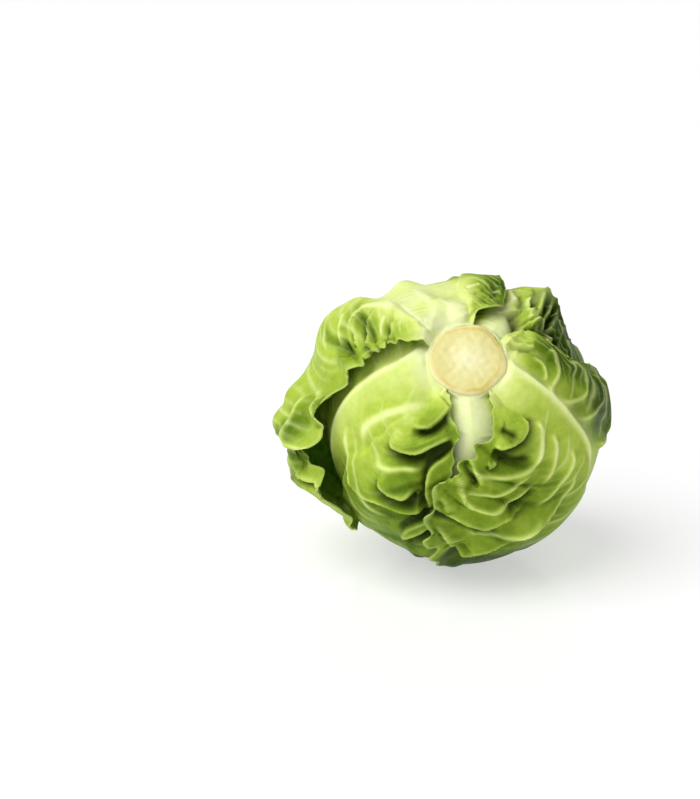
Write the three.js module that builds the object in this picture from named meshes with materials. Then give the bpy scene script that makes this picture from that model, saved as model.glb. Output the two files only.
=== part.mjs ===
// A cut Brussels sprout head, in millimetres, lying on its side with +Z up.
//
// Eight leaves are laid over a dense heart one after another, from the inside out, and a short cut
// stem shows where they meet. Each leaf is a thin closed sheet: its vein lines say where it lies on
// the head, and its height comes from what is under it plus its own ribs, pleats and frills.
//
// A place on the head is [theta, phi] in degrees: theta is measured from the stem axis and phi
// round it, counter-clockwise seen from the stem, with 0 to the right and 90 upwards.
import * as THREE from "three";

// How the head lies: the middle of its resting spot is the origin.
const STEM_LIFT = 42; // degrees from the horizontal up to the stem axis
const STEM_YAW = 2.4; // degrees that the stem axis turns from -Y towards +X
const CENTRE_HEIGHT = 19.35; // head centre above the resting spot

// Leaf stack
const BLADE = 0.75; // thickness of a leaf blade
const GAP = 0.33; // air between a leaf and what it lies on
const PETIOLE = 1.9; // thickness of a leaf stalk at the stem
const STACK = BLADE + GAP;

// Stem and heart
const STEM_ANGLE = 16.9; // half angle of the stem stub, seen from the head centre
const STEM_TOP = 17.7; // distance of the cut face from the head centre
const STEM_FOOT = 13.2;
const WELL_ANGLE = 19; // the heart leaves a well for the stem within this angle
const WELL_RADIUS = 12.6;
const BASE_ANGLE = 18; // where every outer leaf begins, just clear of the stem
const HEART_OUTLINE = [[19, 13.6], [30, 15], [60, 15.9], [110, 15.9], [180, 15.6]];

// The head narrows a little towards the stem: share of an outer leaf's own radius at theta.
const SHOULDER = [[BASE_ANGLE, 0.935], [24, 0.955], [35, 0.98], [55, 1], [120, 1], [180, 0.985]];

// Colours
const CUT_FACE = 0xeee0a0;
const HEART_GREEN = 0xcfdc8a;

const fold = (line, heights, reaches) => ({ line, heights, reaches });

// Outer leaves, innermost first. A row is one pair of vein lines, from the leaf's base to its tip:
// [edge, middle, rib, middle, edge], with phi growing from the first edge to the last. Heights are
// above the leaf's own radius; pleats run along the vein lines, one to a row, between two rows.
// Crumples are patches of irregular creases, with their reach in degrees. A fold is a line along
// which the leaf folds over: its heights and its reaches in degrees are for the left and the right
// side, walking along it, and below 0 a side is sunk. Tucks lower the two margins.
const LOWER_LEAF = {
  name: "outer_leaf_lower",
  colour: 0xc3d684,
  radius: 17.6,
  restLayer: 1,
  rib: { height: 1.7, width: [0.8, 0.16] },
  frill: 0.2,
  cells: [20, 14],
  rows: [
    [[18, 240], [18, 256], [18, 272], [18, 288], [18, 304]],
    [[27, 232], [26, 255], [26, 272], [26, 289], [27, 312]],
    [[40, 222], [38, 250], [38, 272], [38, 294], [40, 322]],
    [[58, 216], [56, 246], [56, 272], [56, 298], [58, 328]],
    [[80, 214], [78, 244], [78, 272], [78, 300], [80, 330]],
    [[104, 216], [102, 244], [102, 272], [102, 300], [104, 328]],
    [[126, 220], [126, 246], [126, 272], [126, 298], [126, 322]],
    [[148, 228], [150, 250], [152, 272], [150, 294], [148, 312]],
  ],
};
const UPPER_RIGHT_LEAF = {
  name: "outer_leaf_upper_right",
  colour: 0x7c9c3c,
  radius: 18,
  rib: { height: 0.9, width: [0.7, 0.2] },
  crumples: [{ at: [54, 38], reach: 20, height: 1.2 }],
  frill: 0.3,
  cells: [30, 18],
  spacing: [[0, 0], [0.15, 1.6], [0.75, 4.6], [1, 8]],
  humps: [{ at: [54, 46], size: 14, height: 1.8 }],
  rows: [
    [[18, 22], [18, 38], [18, 52], [18, 68], [18, 84]],
    [[26, 16], [26, 36], [25, 54], [26, 70], [26, 88]],
    [[36, 8], [34, 33], [33, 54], [35, 72], [36, 92]],
    [[50, 2], [46, 30], [44, 53], [47, 74], [50, 98]],
    [[66, -2], [60, 26], [58, 52], [62, 76], [66, 102]],
    [[86, -2], [80, 26], [78, 50], [82, 76], [86, 104]],
    [[108, 2], [104, 28], [102, 48], [104, 74], [108, 100]],
    [[130, 8], [128, 28], [126, 46], [128, 70], [130, 92]],
    [[148, 24], [149, 34], [150, 46], [149, 60], [148, 72]],
  ],
};
const LEFT_LEAF = {
  name: "outer_leaf_left",
  colour: 0xa4c254,
  radius: 18.3,
  restLayer: 1,
  rib: { height: 0.5, width: [0.35, 0.1] },
  pleats: { heights: [0.4, 0.4], rows: [0.5, 5.8], from: 0.35, fade: 0.55 },
  folds: [
    fold([[25, 173], [39, 182], [53, 187], [65, 191], [77, 197], [95, 207]], [1, 1], [10, 4]),
    fold([[24, 232], [31, 217], [41, 209], [52, 206], [62, 212]], [0.9, 0.9], [9, 9]),
    fold([[37, 227], [33, 239], [28, 245], [22, 252]], [1.4, -0.9], [5, 3]),
    fold([[47, 220], [47, 229], [44, 240], [38, 247], [32, 259]], [1.8, -0.9], [6, 4.5]),
    fold([[63, 226], [64, 235], [58, 247], [49, 248], [36, 257]], [1.7, -0.9], [6, 5]),
    fold([[77, 214], [74, 227], [71, 234], [69, 244], [63, 253]], [1.7, -1.2], [6, 9]),
    fold([[61, 198], [67, 205], [75, 216], [81, 228], [79, 240]], [0.6, 0.6], [3, 5]),
  ],
  crumples: [
    { at: [68, 256], reach: 11, height: 0.9 },
    { at: [86, 258], reach: 14, height: 1.2 },
  ],
  tucks: [0, 1.6],
  frill: 0.35,
  cells: [36, 18],
  spacing: [[0, 0], [0.78, 5.5], [1, 8]],
  rows: [
    [[18, 150], [18, 166], [18, 184], [18, 212], [18, 236]],
    [[30, 140], [26, 165], [27, 187], [39.5, 226], [23, 249]],
    [[45, 135], [40, 160], [36, 188], [48, 223], [30, 256]],
    [[62, 135], [56, 160], [46, 190], [64, 227], [46, 252]],
    [[80, 137], [73, 162], [60, 193], [81, 226], [62, 255]],
    [[98, 140], [92, 165], [77, 198], [100, 228], [78, 255]],
    [[118, 146], [112, 172], [98, 203], [120, 229], [100, 246]],
    [[136, 158], [133, 182], [124, 208], [140, 229], [124, 240]],
    [[149, 184], [149, 198], [149, 212], [151, 224], [145, 234]],
  ],
};
const RIGHT_LEAF = {
  name: "outer_leaf_right",
  colour: 0x9cba4c,
  radius: 18.9,
  restLayer: 0,
  rib: { height: 0.2, width: [0.25, 0.08] },
  pleats: { heights: [0.4, 0.4], rows: [0.5, 6.4], from: 0.3, fade: 0.6 },
  folds: [
    fold([[27, 347], [36, 344], [46, 342], [57, 340], [68, 338], [84, 332]], [1, 1], [4, 12]),
    fold([[36, 15], [41, 9], [40, 2], [38, 355], [34, 348]], [0.7, 0.7], [2.5, 3]),
    fold([[42, 13], [50, 8], [54, 4], [53, 353], [43, 342]], [0.8, 0.8], [2.5, 3.5]),
    fold([[54, 12], [66, 6], [76, 358], [69, 352], [61, 346]], [0.8, 0.8], [2.5, 3.5]),
    fold([[72, 14], [84, 8], [92, 0], [82, 346], [74, 342]], [0.8, 0.8], [2.5, 3.5]),
    fold([[38, 279], [39, 290], [40, 299], [39, 308], [34, 315]], [1.8, -0.9], [5, 5]),
    fold([[43, 277], [45, 284], [43, 291], [46, 299], [47, 310]], [1, -1], [4, 4.5]),
    fold([[65, 275], [62, 285], [61, 292], [59, 299], [61, 308]], [1, -0.9], [4, 5]),
    fold([[64, 281], [61, 275], [57, 270], [53, 267], [45, 264]], [1, -0.9], [4, 3]),
    fold([[70, 275], [69, 284], [68, 291], [65, 302]], [1.5, -1], [5, 5]),
    fold([[64, 256], [64, 264], [68, 269], [73, 279]], [1.2, -0.8], [4, 2.5]),
    fold([[80, 256], [86, 265], [85, 275], [79, 290], [75, 315]], [1.7, -1], [6, 12]),
  ],
  crumples: [
    { at: [52, 262], reach: 14, height: 0.8 },
    { at: [72, 262], reach: 14, height: 0.8 },
    { at: [23, 28], reach: 9, height: 0.6 },
  ],
  tucks: [1.2, 0],
  frill: 0.4,
  cells: [38, 20],
  spacing: [[0, 0], [0.78, 6.4], [1, 9]],
  humps: [
    { at: [132, 270], size: 30, height: 1 },
    { at: [32, 303], size: 6, height: 1.2 },
  ],
  rows: [
    [[18, 302], [18, 326], [18, 355], [18, 375], [18, 394]],
    [[29, 289], [40, 312], [27, 348], [34, 370], [26, 396]],
    [[33, 274], [52, 311], [38, 342], [43, 361], [33, 384]],
    [[36, 261], [63, 312], [50, 340], [54, 361], [40, 373]],
    [[46, 253], [73, 312], [62, 338], [70, 362], [50, 371]],
    [[60, 252], [84, 309], [78, 335], [86, 365], [66, 375]],
    [[80, 253], [98, 302], [96, 334], [104, 366], [86, 378]],
    [[106, 254], [118, 292], [118, 333], [126, 366], [108, 384]],
    [[134, 236], [140, 280], [140, 328], [146, 362], [132, 386]],
    [[155, 240], [162, 275], [160, 315], [160, 350], [152, 372]],
  ],
};
const UPPER_LEAF = {
  name: "outer_leaf_upper",
  colour: 0xaecb60,
  radius: 19,
  rib: { height: 0, width: [0.1, 0.1] },
  pleats: { heights: [0.4, 0.6], rows: [1.2, 5], from: 0.25, fade: 0.7 },
  folds: [
    fold([[60, 116], [44, 118], [28, 119], [20, 138], [17.5, 158]], [1, 1], [4, 9]),
    fold([[35, 114], [28, 107], [22, 101], [17.5, 90]], [0.8, 0.8], [5, 4]),
    fold([[53, 137], [42, 134], [34, 135], [27, 138], [20, 144]], [0.6, 0.6], [4, 5]),
    fold([[50, 161], [53, 154], [56, 146], [46, 139], [38, 137]], [0.8, 0.8], [4, 6]),
  ],
  crumples: [
    { at: [76, 196], reach: 26, height: 1.3 },
    { at: [34, 78], reach: 11, height: 0.9 },
  ],
  frill: 0.45,
  cells: [42, 20],
  spacing: [[0, 0], [0.85, 8.6], [1, 10]],
  rows: [
    [[18, 80], [18, 97], [18, 116], [18, 138], [18, 158]],
    [[23, 76], [24, 95], [24, 116], [28, 139], [22, 160]],
    [[31, 79], [34, 90], [33, 111], [40, 138], [27, 165]],
    [[34, 69], [41, 86], [41, 108], [56, 138], [35, 168]],
    [[46, 72], [55, 88], [52, 107], [74, 143], [45, 175]],
    [[60, 76], [67, 90], [64, 107], [84, 152], [56, 183]],
    [[76, 76], [82, 88], [78, 107], [95, 160], [63, 194]],
    [[93, 66], [97, 82], [94, 106], [104, 165], [70, 204]],
    [[112, 48], [114, 72], [112, 104], [118, 169], [80, 210]],
    [[132, 45], [132, 70], [132, 100], [138, 163], [93, 221]],
    [[149, 55], [151, 72], [153, 100], [153, 150], [118, 222]],
  ],
  // The lower left edge stands away from the head in curled flaps.
  flare: { height: 5.6, rows: [5, 6.2, 7.8, 9.2], from: 0.25, curl: 0.16 },
  humps: [
    { at: [25, 143], size: 7, height: 0.7 },
    { at: [26, 94], size: 7, height: 0.7 },
    { at: [42, 84], size: 9, height: 1.2 },
    { at: [62, 118], size: 6, height: 1.3 },
    { at: [77, 149], size: 19, height: 3 },
  ],
};
const OUTER_LEAVES = [LOWER_LEAF, UPPER_RIGHT_LEAF, LEFT_LEAF, RIGHT_LEAF, UPPER_LEAF];

// Inner leaves close the crown: each is one plain blade, turned round the stem axis.
const INNER_AZIMUTHS = [217, 355, 132];
const INNER_LEAF = {
  colour: 0xbfd474,
  from: 62,
  to: 196,
  halfWidth: [[0, 30], [0.35, 47], [0.7, 42], [0.9, 26], [1, 14]],
  rowCount: 8,
};

const rad = THREE.MathUtils.degToRad;
const deg = THREE.MathUtils.radToDeg;
const clamp = THREE.MathUtils.clamp;
const smooth = (from, to, x) => THREE.MathUtils.smoothstep(x, from, to);
const bell = (x, width) => Math.exp(-((x / width) ** 2));

// Straight-line lookup in a short list of [x, y] stations.
function lookUp(stations, x) {
  const next = stations.findIndex(([at]) => at > x);
  if (next === 0) return stations[0][1];
  if (next < 0) return stations[stations.length - 1][1];
  const [x0, y0] = stations[next - 1];
  const [x1, y1] = stations[next];
  return y0 + ((y1 - y0) * (x - x0)) / (x1 - x0);
}

function direction(theta, phi) {
  const across = Math.sin(rad(theta));
  return new THREE.Vector3(
    across * Math.cos(rad(phi)),
    across * Math.sin(rad(phi)),
    Math.cos(rad(theta)),
  );
}
const thetaOf = (place) => deg(Math.acos(clamp(place.z, -1, 1)));
const phiOf = (place) => deg(Math.atan2(place.y, place.x));

// The head's own frame: Z out through the stem, X to the right and Y upwards across it.
const stemAxis = new THREE.Vector3(
  Math.sin(rad(STEM_YAW)) * Math.cos(rad(STEM_LIFT)),
  -Math.cos(rad(STEM_YAW)) * Math.cos(rad(STEM_LIFT)),
  Math.sin(rad(STEM_LIFT)),
);
const rightAxis = new THREE.Vector3(1, 0, 0).addScaledVector(stemAxis, -stemAxis.x).normalize();
const upAxis = stemAxis.clone().cross(rightAxis);
const verticalInHead = new THREE.Vector3(rightAxis.z, upAxis.z, stemAxis.z);

// Keeps a point of the head at least `level` above the surface that the head lies on.
function liftTo(point, level) {
  const height = point.dot(verticalInHead) + CENTRE_HEIGHT;
  if (height < level) point.addScaledVector(verticalInHead, level - height);
  return point;
}

// Smooth waviness over the head: a few sine waves in seeded random directions.
class Waviness {
  constructor(seed, wavelength, count = 10) {
    let state = seed * 7919 + 13;
    const random = () => (state = (state * 16807) % 2147483647) / 2147483647;
    for (let skip = 0; skip < 5; skip++) random();
    this.waves = Array.from({ length: count }, () => {
      const wave = direction(deg(Math.acos(2 * random() - 1)), 360 * random());
      wave.multiplyScalar((2 * Math.PI * 19) / (wavelength * (0.7 + 0.6 * random())));
      return { wave, phase: 2 * Math.PI * random() };
    });
  }

  // About -1 to 1.
  at(place) {
    const sum = this.waves.reduce((all, { wave, phase }) => all + Math.sin(place.dot(wave) + phase), 0);
    return sum / Math.sqrt(this.waves.length);
  }
}

// How far out the head reaches in every direction, on a grid of theta and phi.
class Underlay {
  static STEP = 2; // degrees
  static ROWS = 180 / Underlay.STEP + 1;
  static COLUMNS = 360 / Underlay.STEP;

  constructor(radiusAt) {
    this.radii = [];
    for (let row = 0; row < Underlay.ROWS; row++) {
      for (let column = 0; column < Underlay.COLUMNS; column++) {
        this.radii.push(radiusAt(row * Underlay.STEP, column * Underlay.STEP));
      }
    }
  }

  raise(point) {
    const radius = point.length();
    const place = point.clone().divideScalar(radius);
    const row = Math.round(thetaOf(place) / Underlay.STEP);
    const column = Math.round(phiOf(place) / Underlay.STEP + 2 * Underlay.COLUMNS) % Underlay.COLUMNS;
    const cell = row * Underlay.COLUMNS + column;
    this.radii[cell] = Math.max(this.radii[cell], radius);
  }

  // A new underlay, each cell combined with its neighbours within `reach` degrees.
  spread(reach, combine) {
    const made = new Underlay(() => 0);
    const rows = Math.ceil(reach / Underlay.STEP);
    for (let row = 0; row < Underlay.ROWS; row++) {
      for (let column = 0; column < Underlay.COLUMNS; column++) {
        const found = [];
        for (let near = row - rows; near <= row + rows; near++) {
          const rest = reach ** 2 - ((near - row) * Underlay.STEP) ** 2;
          if (near < 0 || near >= Underlay.ROWS || rest < 0) continue;
          const across = Math.max(Math.sin(rad(near * Underlay.STEP)), 0.02);
          const columns = Math.min(Math.ceil(Math.sqrt(rest) / across / Underlay.STEP), 90);
          const step = Math.max(1, Math.floor(columns / 6));
          for (let side = -columns; side <= columns; side += step) {
            const beside = (column + side + 2 * Underlay.COLUMNS) % Underlay.COLUMNS;
            found.push(this.radii[near * Underlay.COLUMNS + beside]);
          }
        }
        made.radii[row * Underlay.COLUMNS + column] = combine(found);
      }
    }
    return made;
  }

  at(place) {
    const down = clamp(thetaOf(place) / Underlay.STEP, 0, Underlay.ROWS - 1.001);
    const round = phiOf(place) / Underlay.STEP + Underlay.COLUMNS;
    const [row, column] = [Math.floor(down), Math.floor(round)];
    const cell = (r, c) => this.radii[r * Underlay.COLUMNS + (c % Underlay.COLUMNS)];
    const upper = THREE.MathUtils.lerp(cell(row, column), cell(row, column + 1), round - column);
    const lower = THREE.MathUtils.lerp(cell(row + 1, column), cell(row + 1, column + 1), round - column);
    return THREE.MathUtils.lerp(upper, lower, down - row);
  }
}
const largest = (values) => Math.max(...values);
const average = (values) => values.reduce((sum, value) => sum + value, 0) / values.length;

// A line over the head along which a leaf folds over.
class Fold {
  static PARTS = 8; // samples between two points of the line

  constructor({ line, heights, reaches }) {
    const corners = line.map((at) => direction(...at));
    this.samples = corners.slice(1).flatMap((corner, k) =>
      Array.from({ length: Fold.PARTS }, (_, part) =>
        corners[k].clone().lerp(corner, part / Fold.PARTS).normalize(),
      ),
    );
    this.heights = heights;
    this.reaches = reaches;
  }

  // Height over a place, dying out at both ends of the line.
  height(place) {
    const { samples, heights, reaches } = this;
    const near = samples.reduce((best, at, k) => (place.dot(at) > place.dot(samples[best]) ? k : best), 0);
    const before = samples[Math.max(near - 1, 0)];
    const after = samples[Math.min(near + 1, samples.length - 1)];
    const left = samples[near].clone().cross(after.clone().sub(before));
    const away = deg(place.angleTo(samples[near])) * Math.sign(place.dot(left));
    const share = near / (samples.length - 1);
    const [up, down] = heights.map((height, side) => height * bell(away, reaches[side]));
    const height = THREE.MathUtils.lerp(down, up, smooth(-0.8, 0.5, away));
    return height * smooth(0, 0.15, share) * smooth(0, 0.15, 1 - share);
  }
}

// One leaf: rows of vein lines, and the height of its outer face above what it lies on.
class Leaf {
  constructor(shape, seed) {
    this.shape = shape;
    this.rows = shape.rows;
    this.folds = (shape.folds ?? []).map((each) => new Fold(each));
    this.fold = new Waviness(seed, 9);
    this.ruffle = new Waviness(seed + 50, 3.6);
    this.crease = new Waviness(seed + 90, 8);
  }

  // Unit direction at row number `along` (with a fraction) and -1 to 1 `across`.
  place(along, across) {
    const last = this.rows.length - 1;
    const row = clamp(Math.floor(along), 0, last - 1);
    const t = along - row;
    const lines = [-1, 0, 1, 2].map((step) => this.rows[clamp(row + step, 0, last)]);
    const weights = [
      (-t + 2 * t ** 2 - t ** 3) / 2,
      (2 - 5 * t ** 2 + 3 * t ** 3) / 2,
      (t + 4 * t ** 2 - 3 * t ** 3) / 2,
      (-(t ** 2) + t ** 3) / 2,
    ];
    const side = across < 0 ? -1 : 1;
    const a = Math.abs(across);
    const share = [(1 - a) * (1 - 2 * a), 4 * a * (1 - a), a * (2 * a - 1)];
    const point = new THREE.Vector3();
    lines.forEach((line, i) => {
      share.forEach((part, j) => point.addScaledVector(line[2 + side * j], weights[i] * part));
    });
    return point.normalize();
  }

  // Height of pleats, folds, crumples and frill at a place.
  creases(along, across, place) {
    const { pleats, frill, crumples = [], tucks = [0, 0] } = this.shape;
    const a = Math.abs(across);
    const side = across < 0 ? 0 : 1;
    let height = frill * smooth(0.75, 1, a) * smooth(0.2, 1, along) * (1 + this.ruffle.at(place));
    if (pleats) {
      const [from, to] = pleats.rows;
      const inFolds = smooth(from, from + 0.7, along) * (1 - smooth(to - 1, to, along));
      const wave = Math.abs(Math.sin(Math.PI * (along + 0.16 * this.fold.at(place))));
      const size = pleats.heights[side] * (1 + 0.3 * this.crease.at(place));
      height += size * inFolds * smooth(pleats.from, pleats.from + pleats.fade, a) * wave ** 0.6;
    }
    for (const crumple of crumples) {
      const away = deg(place.angleTo(direction(...crumple.at)));
      const patch = 1 - smooth(0.6 * crumple.reach, crumple.reach, away);
      height += crumple.height * patch * (1 - Math.min(1, 1.6 * Math.abs(this.crease.at(place))));
    }
    height += this.folds.reduce((sum, each) => sum + each.height(place), 0);
    return height * (tucks[side] ? 1 - 0.6 * smooth(0.84, 1, a) : 1);
  }

  // Height of the rib, humps and flaps at a place.
  swells(along, across, place) {
    const { rib, flare, humps = [] } = this.shape;
    const a = Math.abs(across);
    let height = 0;
    if (rib) {
      const share = along / (this.rows.length - 1);
      const width = THREE.MathUtils.lerp(...rib.width, smooth(0, 0.5, share));
      height += rib.height * bell(a, width) * (1 - smooth(0.1, 0.8, share));
    }
    for (const hump of humps) {
      height += hump.height * bell(deg(place.angleTo(direction(...hump.at))), hump.size);
    }
    if (flare && across > 0) {
      const [start, full, fade, end] = flare.rows;
      const standing = smooth(start, full, along) * (1 - smooth(fade, end, along));
      const curls = 1 + flare.curl * (Math.sin(1.5 * Math.PI * along) - 1);
      const roll = smooth(flare.from, 0.75, a) * (1 - 0.75 * smooth(0.78, 1, a));
      height += flare.height * standing * roll * curls;
    }
    return height;
  }

  // Outer and inner points of the leaf at one place, laid over the underlay.
  points(along, across, underlay) {
    const { radius = 0, restLayer, rib, tucks = [0, 0] } = this.shape;
    const place = this.place(along, across);
    const under = underlay.at(place);
    const floor = radius * lookUp(SHOULDER, thetaOf(place));
    const tuck = tucks[across < 0 ? 0 : 1] * smooth(0.82, 1, Math.abs(across));
    const bed = Math.max(under + STACK, floor - tuck);
    const room = radius ? 1 - 0.75 * smooth(0.5, 2.4, bed - floor) : 1; // creases flatten on a high bed
    const relief = this.creases(along, across, place) * room + this.swells(along, across, place);
    const outer = Math.max(bed + relief, under + STACK);
    const stalk = bell(across, 0.5) * (1 - smooth(0.3, 2.4, along)) * (rib ? 1 : 0);
    const thick = THREE.MathUtils.lerp(BLADE, PETIOLE, stalk);
    const inner = Math.min(Math.max(under + GAP, outer - thick), outer - BLADE);
    const points = [place.clone().multiplyScalar(outer), place.clone().multiplyScalar(inner)];
    if (restLayer !== undefined) {
      liftTo(points[0], restLayer * STACK);
      liftTo(points[1], restLayer * STACK + BLADE);
    }
    return points;
  }

  // A closed sheet over a grid of cells, split into triangles alike on both faces.
  geometry(underlay) {
    const [rows, columns] = this.shape.cells;
    const spacing = this.shape.spacing ?? [[0, 0], [1, this.rows.length - 1]];
    const grid = [];
    for (let i = 0; i <= rows; i++) {
      const along = lookUp(spacing, i / rows);
      for (let j = 0; j <= columns; j++) {
        const even = (2 * j) / columns - 1;
        const across = (2 * even + Math.sin((Math.PI * even) / 2)) / 3;
        grid.push(this.points(along, across, underlay));
      }
    }
    const positions = [...grid.map(([outer]) => outer), ...grid.map(([, inner]) => inner)];
    const index = [];
    const at = (i, j) => i * (columns + 1) + j;
    const quad = (a, b, c, d) => index.push(a, b, c, a, c, d);
    for (let i = 0; i < rows; i++) {
      for (let j = 0; j < columns; j++) {
        const corners = [at(i, j), at(i + 1, j), at(i + 1, j + 1), at(i, j + 1)];
        if ((i + j) % 2) corners.push(corners.shift());
        quad(...corners);
        quad(...corners.map((c) => c + grid.length).reverse().map((c, k, all) => all[(k + 1) % 4]));
      }
    }
    const rim = [];
    for (let j = 0; j < columns; j++) rim.push(at(0, j));
    for (let i = 0; i < rows; i++) rim.push(at(i, columns));
    for (let j = columns; j > 0; j--) rim.push(at(rows, j));
    for (let i = rows; i > 0; i--) rim.push(at(i, 0));
    rim.forEach((start, k) => {
      const next = rim[(k + 1) % rim.length];
      quad(start, next, next + grid.length, start + grid.length);
    });
    return closedGeometry(positions, index);
  }

  // Raises the underlay to the leaf's outer face, sampled between its grid points too.
  cover(underlay, mesh) {
    const position = mesh.geometry.getAttribute("position");
    const corner = (k) => new THREE.Vector3().fromBufferAttribute(position, mesh.geometry.index.getX(k));
    const parts = 5;
    for (let k = 0; k < mesh.geometry.index.count; k += 3) {
      const [a, b, c] = [corner(k), corner(k + 1), corner(k + 2)];
      for (let i = 0; i <= parts; i++) {
        for (let j = 0; j <= parts - i; j++) {
          const point = a.clone().multiplyScalar((parts - i - j) / parts);
          underlay.raise(point.addScaledVector(b, i / parts).addScaledVector(c, j / parts));
        }
      }
    }
  }
}

function closedGeometry(points, index) {
  const geometry = new THREE.BufferGeometry().setFromPoints(points);
  geometry.setIndex(index);
  geometry.computeVertexNormals();
  return geometry;
}

function mesh(name, geometry, colour, roughness) {
  const made = new THREE.Mesh(
    geometry,
    new THREE.MeshStandardMaterial({ color: colour, roughness, metalness: 0 }),
  );
  made.name = name;
  return made;
}

// The cut stem: a short tapered stub with a slightly rounded rim, turned on the stem axis.
function stem() {
  const edge = (distance) => distance * Math.tan(rad(STEM_ANGLE));
  const profile = [
    [0, STEM_FOOT],
    [edge(STEM_FOOT), STEM_FOOT],
    [edge(STEM_TOP - 1.1), STEM_TOP - 1.1],
    [edge(STEM_TOP - 1.1) + 0.05, STEM_TOP - 0.6],
    [edge(STEM_TOP - 1.1) - 0.35, STEM_TOP - 0.15],
    [edge(STEM_TOP - 1.1) - 1.1, STEM_TOP],
    [0, STEM_TOP + 0.1],
  ].map(([across, height]) => new THREE.Vector2(across, height));
  const geometry = new THREE.LatheGeometry(profile, 40).rotateX(Math.PI / 2);
  return mesh("stem", geometry, CUT_FACE, 0.6);
}

// The dense heart: a ball with a well for the stem and a flat place over the resting spot.
function heartRadius(theta, phi) {
  const ball = lookUp(HEART_OUTLINE, theta);
  const radius = THREE.MathUtils.lerp(WELL_RADIUS, ball, smooth(WELL_ANGLE - 2, WELL_ANGLE + 1, theta));
  const level = (2 + INNER_AZIMUTHS.length) * STACK;
  return liftTo(direction(theta, phi).multiplyScalar(radius), level).length();
}

function heart() {
  const [rings, sides] = [22, 30];
  const thetas = [15.5, 17.5, 19.5, 22.5];
  while (thetas.length < rings) {
    thetas.push(22.5 + ((180 - 22.5) * (thetas.length - 3)) / (rings - 2.5));
  }
  const points = [new THREE.Vector3(0, 0, WELL_RADIUS), new THREE.Vector3(0, 0, -heartRadius(180, 0))];
  for (const theta of thetas) {
    for (let side = 0; side < sides; side++) {
      const phi = (360 * side) / sides;
      points.push(direction(theta, phi).multiplyScalar(heartRadius(theta, phi)));
    }
  }
  const index = [];
  const at = (ring, side) => 2 + ring * sides + (side % sides);
  for (let side = 0; side < sides; side++) {
    index.push(0, at(0, side), at(0, side + 1));
    index.push(1, at(rings - 1, side + 1), at(rings - 1, side));
    for (let ring = 0; ring < rings - 1; ring++) {
      index.push(at(ring, side), at(ring + 1, side), at(ring + 1, side + 1));
      index.push(at(ring, side), at(ring + 1, side + 1), at(ring, side + 1));
    }
  }
  return mesh("heart", closedGeometry(points, index), HEART_GREEN, 0.5);
}

// Vein lines of an inner leaf, straight across a rib that runs over the crown.
function innerRows(azimuth) {
  const { from, to, halfWidth, rowCount } = INNER_LEAF;
  const aside = direction(90, azimuth + 90);
  return Array.from({ length: rowCount }, (_, row) => {
    const t = row / (rowCount - 1);
    const middle = direction(THREE.MathUtils.lerp(from, to, t), azimuth);
    return [-1, -0.5, 0, 0.5, 1].map((share) => {
      const turn = rad(share * lookUp(halfWidth, t));
      return middle.clone().multiplyScalar(Math.cos(turn)).addScaledVector(aside, Math.sin(turn));
    });
  });
}

function innerShape(azimuth, number) {
  return {
    name: `inner_leaf_${number + 1}`,
    colour: INNER_LEAF.colour,
    restLayer: 2 + INNER_AZIMUTHS.length - 1 - number,
    frill: 0.2,
    cells: [14, 14],
    reach: 9,
    rows: innerRows(azimuth),
  };
}

function outerShape(shape) {
  return { ...shape, rows: shape.rows.map((row) => row.map((at) => direction(...at))) };
}

const head = new THREE.Group();
head.applyMatrix4(
  new THREE.Matrix4().makeBasis(rightAxis, upAxis, stemAxis).setPosition(0, 0, CENTRE_HEIGHT),
);
head.add(stem(), heart());

const underlay = new Underlay(heartRadius);
const leafShapes = [...INNER_AZIMUTHS.map(innerShape), ...OUTER_LEAVES.map(outerShape)];
leafShapes.forEach((shape, number) => {
  const leaf = new Leaf(shape, number + 1);
  const bed = underlay.spread(shape.reach ?? 6, largest).spread(2.5, average);
  const blade = mesh(shape.name, leaf.geometry(bed), shape.colour, 0.5);
  leaf.cover(underlay, blade);
  head.add(blade);
});

const sprout = new THREE.Group();
sprout.name = "brussels_sprout";
sprout.add(head);
export default sprout;
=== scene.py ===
"""A cut Brussels sprout head: fine folded leaves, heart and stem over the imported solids.

A place on the head is given as theta and phi in degrees: theta is measured from the stem axis and
phi round it, counter-clockwise seen from the stem, with 0 to the right and 90 upwards. Sizes of the
head are in millimetres and turn into metres where a mesh is written.
"""
import logging
import math
from dataclasses import dataclass
from enum import Enum
from typing import ClassVar

import bpy
import numpy as np
from mathutils import Matrix, Vector


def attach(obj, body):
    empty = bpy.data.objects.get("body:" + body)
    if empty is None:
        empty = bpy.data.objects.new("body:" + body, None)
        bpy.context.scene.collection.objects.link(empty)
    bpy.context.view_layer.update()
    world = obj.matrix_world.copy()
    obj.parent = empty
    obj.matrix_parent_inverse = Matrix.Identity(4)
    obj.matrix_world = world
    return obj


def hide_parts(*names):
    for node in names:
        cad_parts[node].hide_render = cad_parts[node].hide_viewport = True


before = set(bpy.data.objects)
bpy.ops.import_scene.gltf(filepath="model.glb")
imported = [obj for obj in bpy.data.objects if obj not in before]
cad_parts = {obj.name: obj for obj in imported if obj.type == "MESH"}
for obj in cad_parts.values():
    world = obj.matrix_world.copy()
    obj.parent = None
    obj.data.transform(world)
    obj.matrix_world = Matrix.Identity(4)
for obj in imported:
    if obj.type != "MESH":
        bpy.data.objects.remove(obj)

Array = np.ndarray
Place = tuple[float, float]
Station = tuple[float, float]
Ends = tuple[float, float]
Colour = tuple[float, float, float, float]

log = logging.getLogger("sprout")

MM = 0.001


# ---------------------------------------------------------------- small maths


def smooth(low: float, high: float, x: Array) -> Array:
    """Smooth step from 0 at low to 1 at high."""
    t = np.clip((x - low) / (high - low), 0.0, 1.0)
    return t * t * (3.0 - 2.0 * t)


def bell(x: Array, width: float | Array) -> Array:
    """Bell curve of height 1, down to 1/e at the width."""
    return np.exp(-((x / width) ** 2))


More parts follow.
